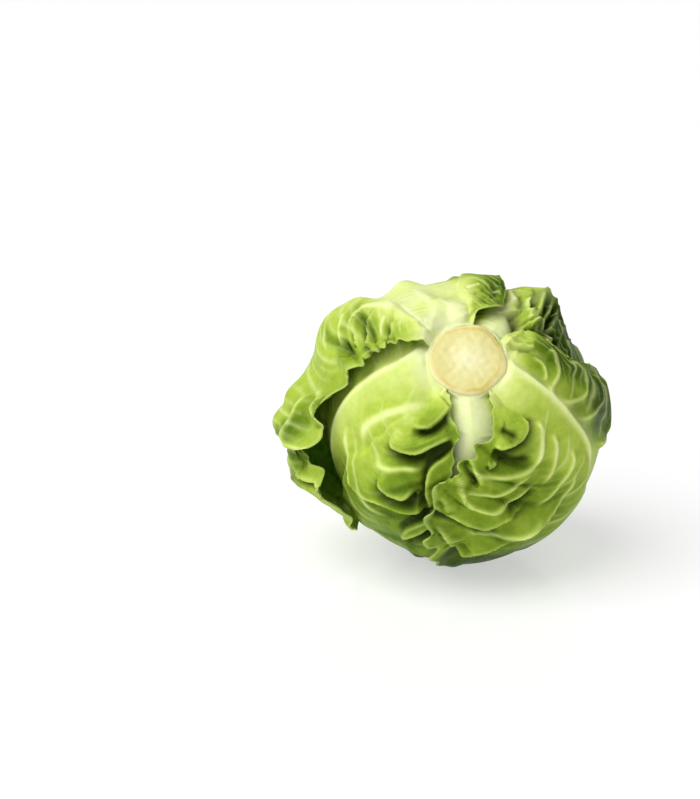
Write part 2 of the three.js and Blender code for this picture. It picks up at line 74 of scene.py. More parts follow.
def look_up(stations: tuple[Station, ...], x: Array) -> Array:
    """Straight-line lookup in a short list of (x, y) stations."""
    xs, ys = zip(*stations)
    return np.interp(x, xs, ys)


def lerp(low: float | Array, high: float | Array, share: float | Array) -> Array:
    """Value at a share of the way from low to high."""
    return low + (high - low) * share


def off_middle(phase: Array) -> Array:
    """Distance of a phase from the middle of its whole number, 0 to 0.5."""
    return np.abs(phase - np.floor(phase) - 0.5)


def direction(theta: float | Array, phi: float | Array) -> Array:
    """Unit vectors from the head's centre towards places on the head.

    Args:
        theta: degrees from the stem axis.
        phi: degrees round the stem axis.

    Returns:
        The vectors in the head's own frame, with Z out through the stem.
    """
    theta, phi = np.radians(theta), np.radians(phi)
    across = np.sin(theta)
    return np.stack([across * np.cos(phi), across * np.sin(phi), np.cos(theta)], axis=-1)


def angles(places: Array) -> tuple[Array, Array]:
    """Theta and phi of unit vectors, in degrees."""
    theta = np.degrees(np.arccos(np.clip(places[..., 2], -1.0, 1.0)))
    return theta, np.degrees(np.arctan2(places[..., 1], places[..., 0]))


def turn_to(places: Array, at: Place) -> Array:
    """Degrees between each unit vector and one place."""
    return np.degrees(np.arccos(np.clip(places @ direction(*at), -1.0, 1.0)))


class Waviness:
    """Smooth waviness over the head: sine waves in seeded random directions."""

    SEEDING = (7919, 13)  # factor and shift from the seed to the first state
    FACTOR = 16807
    MODULUS = 2147483647
    SKIPPED = 5  # first draws, still close for seeds that are close
    RADIUS = 19  # of the head, in millimetres
    SHORTEST = 0.7  # share of the mean wavelength
    SPREAD = 0.6  # from the shortest to the longest

    def __init__(self, seed: int, wavelength: float, count: int = 10) -> None:
        """Draws the waves.

        Args:
            seed: whole number that fixes the draw.
            wavelength: mean wavelength on the head's surface, in millimetres.
            count: how many waves are added up.
        """
        state = seed * self.SEEDING[0] + self.SEEDING[1]

        def draw() -> float:
            """One number of the seeded sequence.

            Returns:
                The number, from 0 to 1.
            """
            nonlocal state
            state = state * self.FACTOR % self.MODULUS
            return state / self.MODULUS

        for _ in range(self.SKIPPED):
            draw()
        waves, phases = [], []
        for _ in range(count):
            theta = math.degrees(math.acos(2 * draw() - 1))
            way = direction(theta, 360 * draw())
            length = wavelength * (self.SHORTEST + self.SPREAD * draw())
            waves.append(way * 2 * math.pi * self.RADIUS / length)
            phases.append(2 * math.pi * draw())
        self.waves = np.array(waves)
        self.phases = np.array(phases)

    def at(self, places: Array) -> Array:
        """Value at unit vectors, about -1 to 1."""
        return np.sin(places @ self.waves.T + self.phases).sum(-1) / math.sqrt(len(self.phases))


# ---------------------------------------------------------------- the head as a whole


@dataclass(frozen=True)
class Lie:
    """How the head lies on the surface."""

    stem_lift: float = 42.0
    stem_yaw: float = 2.4
    centre_height: float = 19.35

    def axes(self) -> Array:
        """Right, up and stem axes of the head.

        Returns:
            The three unit axes, one to a row.
        """
        lift, yaw = math.radians(self.stem_lift), math.radians(self.stem_yaw)
        stem = np.array([math.sin(yaw) * math.cos(lift), -math.cos(yaw) * math.cos(lift), math.sin(lift)])
        right = np.array([1.0, 0.0, 0.0]) - stem[0] * stem
        right /= np.linalg.norm(right)
        return np.array([right, np.cross(stem, right), stem])

    def laid(self, points: Array) -> Array:
        """Points of the head where they lie, with Z up from the surface."""
        return points @ self.axes() + np.array([0.0, 0.0, self.centre_height])

    def lifted(self, points: Array, level: float) -> Array:
        """Keeps points of the head off the surface.

        Args:
            points: places on the head, in its own frame.
            level: least height over the surface.

        Returns:
            The points, those that were lower moved straight up to the level.
        """
        vertical = self.axes()[:, 2]
        short = np.maximum(level - (points @ vertical + self.centre_height), 0.0)
        return points + short[..., None] * vertical


LIE = Lie()
BLADE = 0.75  # thickness of a packed leaf, which spaces the layers
CLEARANCE = 0.33  # between one leaf and the next
STACK = BLADE + CLEARANCE
# Share of its own radius that a leaf keeps at each theta, less where it runs in to the stem.
SHOULDER = ((17.3, 0.935), (24, 0.955), (35, 0.98), (55, 1), (120, 1), (180, 0.985))


class Underlay:
    """How far out the head reaches in every direction, on a grid of theta and phi."""

    STEP = 0.75
    ROWS = int(180 / STEP) + 1
    COLUMNS = int(360 / STEP)

    def __init__(self, radii: Array) -> None:
        """Keeps the grid, with theta down the rows and phi along them."""
        self.radii = radii

    @classmethod
    def places(cls) -> tuple[Array, Array]:
        """Theta and phi of every cell."""
        return np.meshgrid(np.arange(cls.ROWS) * cls.STEP, np.arange(cls.COLUMNS) * cls.STEP, indexing="ij")

    def raise_to(self, points: Array) -> None:
        """Raises the cells that points of the head lie over.

        Args:
            points: places on the head, in its own frame.
        """
        radius = np.linalg.norm(points, axis=-1)
        theta, phi = angles(points / radius[..., None])
        row = np.rint(theta / self.STEP).astype(int)
        column = np.rint(phi / self.STEP).astype(int) % self.COLUMNS
        np.maximum.at(self.radii, (row, column), radius)

    def _past_poles(self, radii: Array, rows: int) -> Array:
        """Continues the grid over both poles.

        Args:
            radii: a grid of all the cells.
            rows: how many rows are added at either end.

        Returns:
            The longer grid.
        """
        half = self.COLUMNS // 2
        top = np.roll(radii[1 : rows + 1][::-1], half, axis=1)
        bottom = np.roll(radii[-rows - 1 : -1][::-1], half, axis=1)
        return np.vstack([top, radii, bottom])

    def _reach(self, row: int, reach: float) -> int:
        """Columns within a reach in degrees along one row."""
        across = max(math.sin(math.radians(row * self.STEP)), 0.02)
        return min(math.ceil(reach / across / self.STEP), self.COLUMNS // 2 - 1)

    def grown(self, reach: float) -> "Underlay":
        """Spreads the high places.

        Args:
            reach: how far they spread, in degrees.

        Returns:
            A new underlay, each cell the highest within the reach.
        """
        made = np.empty_like(self.radii)
        for row, line in enumerate(self.radii):
            half = self._reach(row, reach)
            best, span = line, 1
            while span < 2 * half + 1:
                step = min(span, 2 * half + 1 - span)
                best = np.maximum(best, np.roll(best, -step))
                span += step
            made[row] = np.roll(best, half)
        rows = math.ceil(reach / self.STEP)
        padded = self._past_poles(made, rows)
        return Underlay(np.max([padded[k : k + self.ROWS] for k in range(2 * rows + 1)], axis=0))

    def blurred(self, reach: float) -> "Underlay":
        """Evens out steps.

        Args:
            reach: how far each cell is averaged, in degrees.

        Returns:
            A new underlay, each cell the mean of those within the reach.
        """
        made = np.empty_like(self.radii)
        for row, line in enumerate(self.radii):
            half = self._reach(row, reach)
            sums = np.cumsum(np.concatenate([[0.0], line[-half:], line, line[:half]]))
            made[row] = (sums[2 * half + 1 :] - sums[: -2 * half - 1]) / (2 * half + 1)
        rows = math.ceil(reach / self.STEP)
        padded = self._past_poles(made, rows)
        return Underlay(np.mean([padded[k : k + self.ROWS] for k in range(2 * rows + 1)], axis=0))

    def at(self, places: Array) -> Array:
        """Reads the grid between its cells.

        Args:
            places: unit vectors.

        Returns:
            How far out the head reaches at each.
        """
        theta, phi = angles(places)
        down = np.clip(theta / self.STEP, 0, self.ROWS - 1.001)
        around = phi / self.STEP + self.COLUMNS
        row, column = np.floor(down).astype(int), np.floor(around).astype(int)
        left, right = column % self.COLUMNS, (column + 1) % self.COLUMNS
        upper = lerp(self.radii[row, left], self.radii[row, right], around - column)
        lower = lerp(self.radii[row + 1, left], self.radii[row + 1, right], around - column)
        return lerp(upper, lower, down - row)


# ---------------------------------------------------------------- leaf forms


@dataclass(frozen=True)
class Rib:
    """Midrib: its height and its half width, as shares of the blade, at the base and half way up."""

    height: float
    width: tuple[float, float]

    WIDENS: ClassVar[Ends] = (0, 0.5)  # shares of the blade's length between which its width changes
    FADES: ClassVar[Ends] = (0.1, 0.8)  # and between which it sinks into the blade


@dataclass(frozen=True)
class Pleats:
    """Folds along the vein lines, one to a row, on both halves of a leaf."""

    heights: tuple[float, float]
    rows: tuple[float, float]
    start: float
    fade: float = 0.7

    BEGIN: ClassVar[float] = 0.7  # rows over which they rise
    END: ClassVar[float] = 1  # rows over which they die out
    UNEVEN: ClassVar[float] = 0.3  # how much their height wanders
    FLATTENED: ClassVar[float] = 0.6  # how much of it they lose at the edge
    BLUNT: ClassVar[float] = 0.6  # power that rounds them
    LESSER: ClassVar[float] = 2.6  # smaller folds to each of them
    LESSER_HEIGHT: ClassVar[float] = 0.2
    LESSER_WANDER: ClassVar[float] = 0.5
    LESSER_BLUNT: ClassVar[float] = 0.7
    LESSER_FROM: ClassVar[Ends] = (0.5, 0.9)  # shares of the half blade over which those begin


@dataclass(frozen=True)
class Crumple:
    """A patch of sharp irregular creases, its reach in degrees, part of it in small folds."""

    at: Place
    reach: float
    height: float
    small: float = 0.3
    # How much deeper the green over the patch is, a painted shade where it lies in shadow; below 0 a
    # painted highlight.
    tone: float = 0.0

    FULL: ClassVar[float] = 0.6  # share of the reach with full creases
    FULL_TONE: ClassVar[float] = 0.5  # share of the reach with its full tone
    SHARP: ClassVar[float] = 1.6  # how narrow the creases are
    SHARP_SMALL: ClassVar[float] = 1.4  # how narrow the small folds are
    PALENESS: ClassVar[float] = 0.12  # of the creases' tops
    PALE_ABOVE: ClassVar[float] = 0.4  # height of a crease, as a share, where that begins


FADED: Ends = (0.25, 0.25)


@dataclass(frozen=True)
class Fold:
    """A line along which a leaf folds over, raised on its left, walking along it, and sunk on its right.

    Heights in millimetres and reaches in degrees are for the left and the right side; a line raised
    on both is a ridge. Ends are the shares of the line over which it dies out.
    """

    line: tuple[Place, ...]
    heights: tuple[float, float]
    reaches: tuple[float, float]
    ends: Ends = FADED

    SAMPLES: ClassVar[int] = 10  # samples of the line for each of its places
    SOFTENED: ClassVar[int] = 4  # samples averaged on either side, which round its corners
    SHORTEST_END: ClassVar[float] = 1e-6
    TURNING: ClassVar[Ends] = (-1.2, 0.6)  # degrees beside the line where the right side meets the left
    PALE_WIDTH: ClassVar[float] = 0.55  # half width of a ridge's pale line, its vein with a painted highlight, in degrees
    PALE_SPREAD: ClassVar[float] = 0.1  # what each degree of reach adds to it
    DARKENING: ClassVar[float] = 1.2  # painted shade for each millimetre that a side is sunk
    GAP: ClassVar[Ends] = (-1.5, -0.5)  # reaches beside the line between which the painted shade of a gap darkens
    MOUTH: ClassVar[Ends] = (-0.5, 0.3)  # degrees beside the line where that painted shade ends at the lip
    LIP_HIGHLIGHT: ClassVar[tuple[float, float, float]] = (0.42, 0.9, 0.7)  # painted highlight on the lip: how pale, how far off, how wide

    def beside(self, places: Array) -> tuple[Array, Array]:
        """Finds where places lie along and beside the line.

        Args:
            places: unit vectors.

        Returns:
            Degrees from the line, below 0 on its right, and the fold's share, which dies out at its ends.
        """
        knots = direction(*np.array(self.line, dtype=float).T)
        at = np.linspace(0, len(knots) - 1, self.SAMPLES * len(knots))
        samples = np.stack([np.interp(at, range(len(knots)), axis) for axis in knots.T], axis=-1)
        padded = np.pad(samples, ((self.SOFTENED, self.SOFTENED), (0, 0)), mode="edge")
        samples = np.mean([padded[k : k + len(samples)] for k in range(2 * self.SOFTENED + 1)], axis=0)
        samples /= np.linalg.norm(samples, axis=-1, keepdims=True)
        left = np.cross(samples, np.gradient(samples, axis=0))
        left /= np.linalg.norm(left, axis=-1, keepdims=True)
        near = np.argmax(places @ samples.T, axis=-1)
        away = np.degrees(np.arccos(np.clip((places * samples[near]).sum(-1), -1, 1)))
        side = np.where((places * left[near]).sum(-1) < 0, -1, 1)
        share = near / (len(samples) - 1)
        start, end = np.maximum(self.ends, self.SHORTEST_END)
        return away * side, smooth(0, start, share) * smooth(0, end, 1 - share)

    def height(self, places: Array) -> Array:
        """Height of the fold.

        Args:
            places: unit vectors.

        Returns:
            The height at each, in millimetres.
        """
        away, share = self.beside(places)
        left, right = (h * bell(away, reach) for h, reach in zip(self.heights, self.reaches))
        return share * lerp(right, left, smooth(*self.TURNING, away))

    def shade(self, places: Array) -> Array:
        """Painted shade in the fold's gap and a painted highlight on its ridge or lip.

        Args:
            places: unit vectors.

        Returns:
            From 1, full painted shade in a deep gap, to below 0 on a ridge or lip, a painted highlight with
            a ridge's vein.
        """
        away, share = self.beside(places)
        left, right = self.heights
        if right > 0:
            width = self.PALE_WIDTH + self.PALE_SPREAD * np.where(away > 0, *self.reaches)
            return -share * bell(away, width)
        depth = min(1, -self.DARKENING * right)
        if left < 0:
            return share * depth * bell(away, 0.5 * self.reaches[0])
        far, near = (reaches * self.reaches[1] for reaches in self.GAP)
        gap_shade = smooth(far, near, away) * (1 - smooth(*self.MOUTH, away))
        highlight, at, width = self.LIP_HIGHLIGHT
        return share * (depth * gap_shade - highlight * bell(away - at, width))


def ridge(line: tuple[Place, ...], height: float, reach: float, ends: Ends = FADED) -> Fold:
    """A fold raised alike on both sides of its line."""
    return Fold(line, (height, height), (reach, reach), ends)


def furrow(line: tuple[Place, ...], depth: float, reach: float, ends: Ends = FADED) -> Fold:
    """A fold sunk alike on both sides of its line."""
    return Fold(line, (-depth, -depth), (reach, reach), ends)


@dataclass(frozen=True)
class Hump:
    """A round swelling of a leaf, its size in degrees."""

    at: Place
    size: float
    height: float


@dataclass(frozen=True)
class Flare:
    """A margin that stands away from the head in curled flaps.

    It begins, stands full, starts to fade and ends at the four rows, from a share of the half blade
    outwards. Curl is how much the flaps differ, and the notch has a row and a depth.
    """

    height: float
    rows: tuple[float, float, float, float]
    start: float
    curl: float
    notch: tuple[float, float]

    FULL: ClassVar[float] = 0.75  # share of the half blade where it stands full
    ROLLING: ClassVar[Ends] = (0.78, 1)  # shares between which its lip rolls back
    ROLLED: ClassVar[float] = 0.45  # how far that takes it
    CURLS: ClassVar[float] = 1.5  # half waves to each row
    NOTCH_WIDTH: ClassVar[float] = 0.3  # in rows
    NOTCH_FROM: ClassVar[Ends] = (0.4, 1)  # shares of the half blade over which the notch opens


@dataclass(frozen=True)
class Tones:
    """How deep the green is, from 0 at a white rib to 1 in the painted shade of a dark fold, on both halves
    of the blade. Where one half is set deeper than the other, that is painted shade on a half that turns
    from the light or lies under another leaf.
    """

    rib: float
    blade: tuple[float, float]
    margin: tuple[float, float]
    # How much deeper the green is along the pleats' furrows, a painted shade.
    furrow: float = 0.25

    FURROW_SHADE: ClassVar[Ends] = (0.28, 0.5)  # rows from a pleat's middle where the painted shade of its furrow darkens
    FURROW_IN_GAP_SHADE: ClassVar[float] = 0.5  # how much of that painted shade also goes into the painted shade of the gaps
    WHITE: ClassVar[Ends] = (0.05, 0.35)  # half width of the white at the tip, and what the base adds
    WHITE_ENDS: ClassVar[Ends] = (0.15, 0.5)  # shares of the length
    GREENING: ClassVar[float] = 0.6  # share of the half blade over which the white turns green
    NARROWING: ClassVar[float] = 0.3  # how much nearer the rib that lies at the tip
    SIDES: ClassVar[Ends] = (-0.1, 0.1)  # where one half's tones turn into the other's
    MARGIN: ClassVar[Ends] = (0.55, 0.95)  # shares of the half blade where the margin's tone takes over
    RIDGE_HIGHLIGHT: ClassVar[float] = 0.3  # how much paler a fold's ridge or lip is, a painted highlight, on a ridge with its pale vein
    UNDERSIDE_SHADE: ClassVar[float] = 0.6  # how much deeper the green near the surface is, a painted shade


@dataclass(frozen=True)
class Veins:
    """Pale veins along the vein lines and their branches; widths are shares of a row."""

    WIDTH: ClassVar[float] = 0.06
    STARTS: ClassVar[Ends] = (0.05, 0.25)  # shares of the half blade
    BEGINS: ClassVar[Ends] = (0.3, 1)  # rows
    BRANCHES: ClassVar[float] = 3  # to each vein
    SLANT: ClassVar[float] = 1.4  # rows that they cross from the rib to the edge
    BRANCH_WIDTH: ClassVar[float] = 0.14
    BRANCH_STARTS: ClassVar[Ends] = (0.25, 0.6)  # shares of the half blade
    BRANCH_SHARE: ClassVar[float] = 0.5  # how pale a branch is beside a vein
    ENDS: ClassVar[Ends] = (0.8, 1)  # shares of the half blade
    FOLDED: ClassVar[Ends] = (0.4, 0.65)  # the same, where the margin is tucked
    HIDDEN: ClassVar[float] = 0.9  # how much of a vein is lost there
    RIB_SHARE: ClassVar[float] = 0.6  # how pale the rib is beside a vein
    RIB_WIDTH: ClassVar[float] = 0.09  # share of the half blade
    RIB_ENDS: ClassVar[Ends] = (0.3, 1)  # shares of the length
    RIDGE_HIGHLIGHT_SHARE: ClassVar[float] = 0.8  # how pale a fold's ridge or lip is beside a vein, a painted highlight, on a ridge with its pale vein


@dataclass(frozen=True)
class LeafForm:
    """Everything that shapes one leaf.

    A row of `rows` is one pair of vein lines, from the leaf's base to its tip, as the places of
    (edge, middle, rib, middle, edge), with phi growing from the first edge to the last.
    """

    name: str
    node: str
    slot: str
    rows: tuple
    cells: tuple[int, int]
    tones: Tones
    radius: float = 0.0
    rest_layer: int | None = None
    rib: Rib | None = None
    pleats: Pleats | None = None
    crumples: tuple[Crumple, ...] = ()
    jag: float = 0.05
    teeth: tuple[float, float] = (0.012, 0.012)
    blur: float = 1.5
    tucks: tuple[float, float] = (0, 0)
    lean: float = 0.5
    frill: float = 0.3
    humps: tuple[Hump, ...] = ()
    folds: tuple[Fold, ...] = ()
    flare: Flare | None = None
    spacing: tuple[Station, ...] | None = None


LOWER = LeafForm(
    name="leaf_lower",
    node="outer_leaf_lower",
    slot="outer_leaf",
    radius=17.6,
    rest_layer=1,
    rib=Rib(1.7, (0.8, 0.16)),
    frill=0.2,
    cells=(150, 110),
    tones=Tones(0.0, (0.8, 0.8), (0.85, 0.85)),
    rows=(
        ((16.3, 240), (16.3, 256), (16.3, 272), (16.3, 288), (16.3, 304)),
        ((27, 232), (26, 255), (26, 272), (26, 289), (27, 312)),
        ((40, 222), (38, 250), (38, 272), (38, 294), (40, 322)),
        ((58, 216), (56, 246), (56, 272), (56, 298), (58, 328)),
        ((80, 214), (78, 244), (78, 272), (78, 300), (80, 330)),
        ((104, 216), (102, 244), (102, 272), (102, 300), (104, 328)),
        ((126, 220), (126, 246), (126, 272), (126, 298), (126, 322)),
        ((148, 228), (150, 250), (152, 272), (150, 294), (148, 312)),
    ),
)
UPPER_RIGHT = LeafForm(
    name="leaf_upper_right",
    node="outer_leaf_upper_right",
    slot="outer_leaf",
    radius=18,
    rib=Rib(0.9, (0.7, 0.2)),
    crumples=(Crumple((48, 38), 19, 0.8, 0.7, 0.58),),
    folds=(
        ridge(((50, 70), (46, 66), (41, 62), (38, 58)), 0.9, 2.4, (0.3, 0.1)),
        furrow(((48, 60), (42, 56), (37, 51)), 1, 1.7),
        ridge(((48, 58), (41, 52), (38, 47), (36, 42)), 1, 2.6, (0.3, 0.1)),
        furrow(((58, 55), (47, 52), (39, 45)), 1.1, 1.5, (0.5, 0.2)),
        ridge(((60, 54), (48, 49), (40, 43), (35, 37)), 0.8, 2, (0.4, 0.1)),
        furrow(((60, 51), (50, 46), (44, 41), (36, 36)), 1, 1.4, (0.5, 0.2)),
        ridge(((60, 49), (50, 43), (42, 39), (36, 34)), 0.7, 2, (0.4, 0.1)),
        Fold(((60, 45), (53, 41), (46, 36), (40, 31)), (0.7, -1), (2, 1.8), (0.4, 0.1)),
        Fold(((34, 43), (35, 37), (38, 30), (42, 22)), (0.9, -1.2), (2, 2), (0.1, 0.2)),
        Fold(((31, 35), (33, 31), (36, 25)), (0.8, -1), (1.8, 1.6), (0.1, 0.1)),
        Fold(((35, 40), (40, 34), (44, 27), (48, 18)), (0.8, -1), (1.8, 1.8), (0.1, 0.3)),
        furrow(((36, 56), (33, 50), (30.5, 43), (28.5, 36), (27, 30)), 1.8, 3.8, (0.05, 0.05)),
    ),
    frill=0.3,
    lean=0.62,
    cells=(240, 168),
    spacing=((0, 0), (0.15, 1.6), (0.75, 4.6), (1, 8)),
    humps=(Hump((54, 52), 13, 1.7), Hump((66, 55), 6, 0.9), Hump((58, 51), 6, 1.1), Hump((56, 62), 4, 0.5)),
    tones=Tones(0.1, (0.8, 0.8), (0.95, 0.95)),
    rows=(
        ((16.3, 22), (16.3, 38), (16.3, 52), (16.3, 68), (16.3, 84)),
        ((26, 16), (26, 36), (25, 54), (26, 70), (26, 88)),
        ((36, 8), (34, 33), (33, 54), (35, 72), (36, 92)),
        ((50, 2), (46, 30), (44, 53), (47, 73), (50, 94)),
        ((66, -2), (60, 26), (58, 52), (62, 74), (66, 93)),
        ((86, -2), (80, 26), (78, 50), (82, 74), (86, 94)),
        ((108, 2), (104, 28), (102, 48), (104, 74), (108, 96)),
        ((130, 8), (128, 28), (126, 46), (128, 70), (130, 92)),
        ((148, 24), (149, 34), (150, 46), (149, 60), (148, 72)),
    ),
)
LEFT = LeafForm(
    name="leaf_left",
    node="outer_leaf_left",
    slot="outer_leaf",
    radius=18.3,
    rest_layer=1,
    rib=Rib(0.5, (0.35, 0.1)),
    pleats=Pleats((0.4, 0.4), (0.5, 5.8), 0.35, 0.55),
    folds=(
        Fold(
            ((17.5, 158), (25, 173), (31, 179), (39, 182), (53, 187), (65, 191), (77, 197), (91, 205),
             (106, 212)), (1, 1), (10, 3.5), (0.08, 0.35),
        ),
        Fold(((37, 227), (33, 239), (28, 245), (22, 252)), (1.4, -0.9), (5, 3), (0.2, 0)),
        Fold(((47, 220), (47, 229), (44, 240), (38, 247), (32, 259)), (1.8, -0.9), (6, 4.5), (0.2, 0.1)),
        ridge(((60, 221), (56, 230), (51, 238), (49, 246)), 0.7, 4),
        Fold(((63, 226), (64, 235), (62, 243), (57, 246)), (1.7, -0.9), (6, 5), (0.2, 0.2)),
        Fold(
            ((35, 260), (41, 254), (44, 250), (48, 248), (53, 249), (58, 250), (61, 252), (64, 254)),
            (1.3, -0.9), (5, 2.5), (0.1, 0.1),
        ),
        Fold(((77, 214), (74, 227), (71, 234), (69, 244), (64, 252)), (1.7, -1), (6, 4), (0.25, 0)),
        Fold(((63, 255), (67, 254), (71, 251), (77, 246), (86, 244)), (1, -0.8), (3, 2.5), (0.1, 0.2)),
        Fold(((88, 244), (81, 249), (78, 253), (73, 256), (69, 257)), (0.8, -1), (2, 4), (0.1, 0.1)),
        Fold(((61, 198), (67, 205), (75, 216), (81, 228), (79, 240)), (0.6, 0.6), (3, 5)),
        ridge(((24, 232), (31, 217), (41, 209), (52, 206), (62, 212)), 0.9, 9),
    ),
    crumples=(Crumple((68, 258), 9, 0.5, 0.8), Crumple((90, 256), 12, 0.5, 0.8)),
    frill=0.35,
    jag=0.02,
    tucks=(0, 0.8),
    lean=0.4,
    cells=(230, 176),
    spacing=((0, 0), (0.78, 5.5), (1, 8)),
    # The deeper margin of the first half is painted shade where it lies under the upper leaf.
    tones=Tones(0.32, (0.6, 0.64), (0.8, 0.66), 0.4),
    rows=(
        ((16.3, 150), (16.3, 166), (16.3, 184), (16.3, 212), (16.3, 236)),
        ((30, 140), (26, 165), (27, 187), (39.5, 226), (23, 249)),
        ((45, 135), (40, 160), (36, 188), (48, 223), (32, 261)),
        ((62, 135), (56, 160), (46, 190), (64, 227), (46, 261)),
        ((80, 137), (73, 162), (60, 193), (81, 226), (62, 259)),
        ((98, 140), (92, 165), (77, 198), (100, 228), (79, 259)),
        ((118, 146), (112, 172), (98, 203), (120, 229), (100, 257)),
        ((136, 158), (133, 182), (124, 208), (140, 229), (124, 248)),
        ((149, 184), (149, 198), (149, 212), (151, 224), (145, 234)),
    ),
)
RIGHT = LeafForm(
    name="leaf_right",
    node="outer_leaf_right",
    slot="outer_leaf",
    radius=18.9,
    rest_layer=0,
    rib=Rib(0.2, (0.25, 0.08)),
    pleats=Pleats((0.4, 0.12), (0.5, 6.4), 0.3, 0.6),
    folds=(
        Fold(
            ((15, 354), (21, 347), (25, 345), (36, 341), (48, 337), (56, 336), (65, 335), (74, 332),
             (83, 328), (91, 323)), (0.9, 0.9), (3, 12), (0.05, 0.4),
        ),
        ridge(
            ((15, 354), (21, 347), (25, 345), (36, 341), (48, 337), (56, 336), (65, 335), (74, 332),
             (83, 328)), 0.2, 1, (0.05, 0.3),
        ),
        Fold(((18, 27), (20, 21), (22, 17), (26, 16), (29, 17)), (0.5, -0.4), (1.6, 0.9), (0.1, 0.1)),
        Fold(((23, 28), (25, 22), (29, 19)), (0.3, -0.2), (1.2, 0.8)),
        ridge(((17, 24), (17, 19), (17, 13)), 0.4, 1.2),
        ridge(((27, 12), (32, 5), (33, 356), (32, 349)), 0.2, 1.2),
        Fold(
            ((34, 16), (37, 11), (39, 4), (38, 356), (35, 346), (33, 342)), (0.5, 0.5), (2, 2.5),
            (0.1, 0.2),
        ),
        Fold(
            ((43, 10), (50, 7), (55, 2), (56, 357), (52, 351), (44, 343), (39, 340)), (0.5, 0.5), (2, 3),
            (0.1, 0.2),
        ),
        Fold(((60, 9), (66, 5), (69, 0), (67, 354), (59, 345), (51, 338)), (0.5, 0.5), (2, 3), (0.1, 0.2)),
        Fold(
            ((72, 14), (84, 8), (92, 0), (90, 352), (82, 346), (74, 342)), (0.8, 0.8), (2, 3.5),
            (0.1, 0.2),
        ),
        Fold(((36, 321), (41, 319), (46, 312), (50, 304)), (0.5, 0.5), (2, 3)),
        Fold(((44, 324), (51, 320), (57, 314), (62, 304)), (0.5, 0.5), (2, 4)),
        Fold(((55, 327), (61, 324), (65, 317), (68, 308), (70, 298)), (0.5, 0.5), (2, 3)),
        Fold(((65, 324), (72, 318), (76, 308), (78, 297), (78, 286)), (0.5, 0.5), (2, 4)),
        Fold(
            ((36, 284), (38, 289), (38, 296), (38, 302), (36, 309), (31, 315)), (1.6, -0.9), (6, 4),
            (0.1, 0.1),
        ),
        furrow(((30, 292), (33, 297), (36, 301)), 1.2, 2.5),
        Fold(
            ((40, 267), (44, 271), (46, 276), (48, 283), (50, 292), (51, 300), (50, 306), (46, 312),
             (41, 319)), (0.9, 0.9), (3, 2.5), (0.1, 0.2),
        ),
        furrow(((41, 285), (43, 291), (46, 298), (47, 306)), 0.8, 3.5, (0.2, 0.2)),
        Fold(((42, 278), (44, 282), (42, 287)), (0.8, -0.6), (2.5, 1.5)),
        Fold(((39, 268), (46, 273), (51, 275)), (0.7, -0.9), (2.5, 3), (0.1, 0.2)),
        ridge(((53, 266), (53, 272), (54, 277), (56, 282), (56, 288), (54, 296), (52, 304)), 0.6, 1.8),
        ridge(
            ((45, 264), (50, 266), (56, 268), (60, 274), (63, 281), (61, 288), (59, 296), (58, 306)), 0.9,
            1.8, (0.1, 0.2),
        ),
        furrow(((66, 286), (64, 291), (63, 297), (63, 304)), 1.1, 3.5),
        Fold(
            ((58, 252), (61, 260), (65, 266), (69, 274), (70, 278), (68, 284), (68, 291), (64, 305)),
            (1.4, -0.9), (4, 3), (0.05, 0.25),
        ),
        Fold(((55, 256), (57, 259), (60, 260), (60, 266)), (0.5, -0.5), (1.5, 1.2)),
        furrow(((50, 257), (54, 261), (58, 265), (60, 270)), 0.7, 1),
        ridge(((68, 265), (73, 274), (77, 285), (77, 293), (73, 303)), 0.6, 2.2),
        Fold(((70, 259), (76, 262), (78, 266), (79, 271)), (0.5, -0.5), (2, 1.2)),
        furrow(((83, 263), (83, 269), (85, 273)), 0.5, 1.2),
        Fold(((67, 257), (72, 260), (76, 262), (82, 265), (88, 268)), (0.8, -0.5), (2.5, 1.2), (0.1, 0.1)),
        Fold(
            ((83, 266), (88, 270), (85, 275), (82, 283), (79, 290), (77, 297), (76, 306), (75, 316)),
            (1.7, -1), (5, 13), (0.12, 0.3),
        ),
    ),
    crumples=(
        Crumple((52, 260), 15, 0.75, 0.7),
        Crumple((72, 260), 15, 0.65, 0.7),
        Crumple((33, 291), 7, 0.35, 0.6, -0.18),
        Crumple((23, 28), 9, 0.3, 0.9, -0.15),
        Crumple((32, 2), 12, 0, 0, 0.15),
        Crumple((60, 358), 24, 0, 0, 0.12),
    ),
    frill=0.15,
    jag=0.02,
    blur=4,
    tucks=(1.2, 0),
    lean=0.63,
    cells=(226, 180),
    spacing=((0, 0), (0.78, 6.4), (1, 9)),
    humps=(Hump((132, 270), 30, 1), Hump((32, 303), 6, 1.2), Hump((84, 260), 3, -0.8)),
    # The deeper blade of the last half is painted shade on the side turned from the light.
    tones=Tones(0.42, (0.6, 0.88), (0.6, 0.66), 0.5),
    rows=(
        ((16.3, 302), (16.3, 326), (16.3, 355), (16.3, 375), (16.3, 394)),
        ((29, 289), (40, 312), (27, 348), (34, 370), (26, 396)),
        ((34, 275), (52, 311), (38, 342), (43, 361), (33, 384)),
        ((41, 265), (63, 312), (50, 340), (54, 361), (40, 373)),
        ((50, 254), (73, 312), (62, 338), (70, 362), (50, 371)),
        ((63, 254), (84, 309), (78, 335), (86, 365), (66, 375)),
        ((81, 256), (98, 302), (96, 334), (104, 366), (86, 378)),
        ((105, 261), (118, 292), (118, 333), (126, 366), (108, 384)),
        ((132, 260), (140, 280), (140, 328), (146, 362), (132, 386)),
        ((153, 252), (162, 275), (160, 315), (160, 350), (152, 372)),
    ),
)
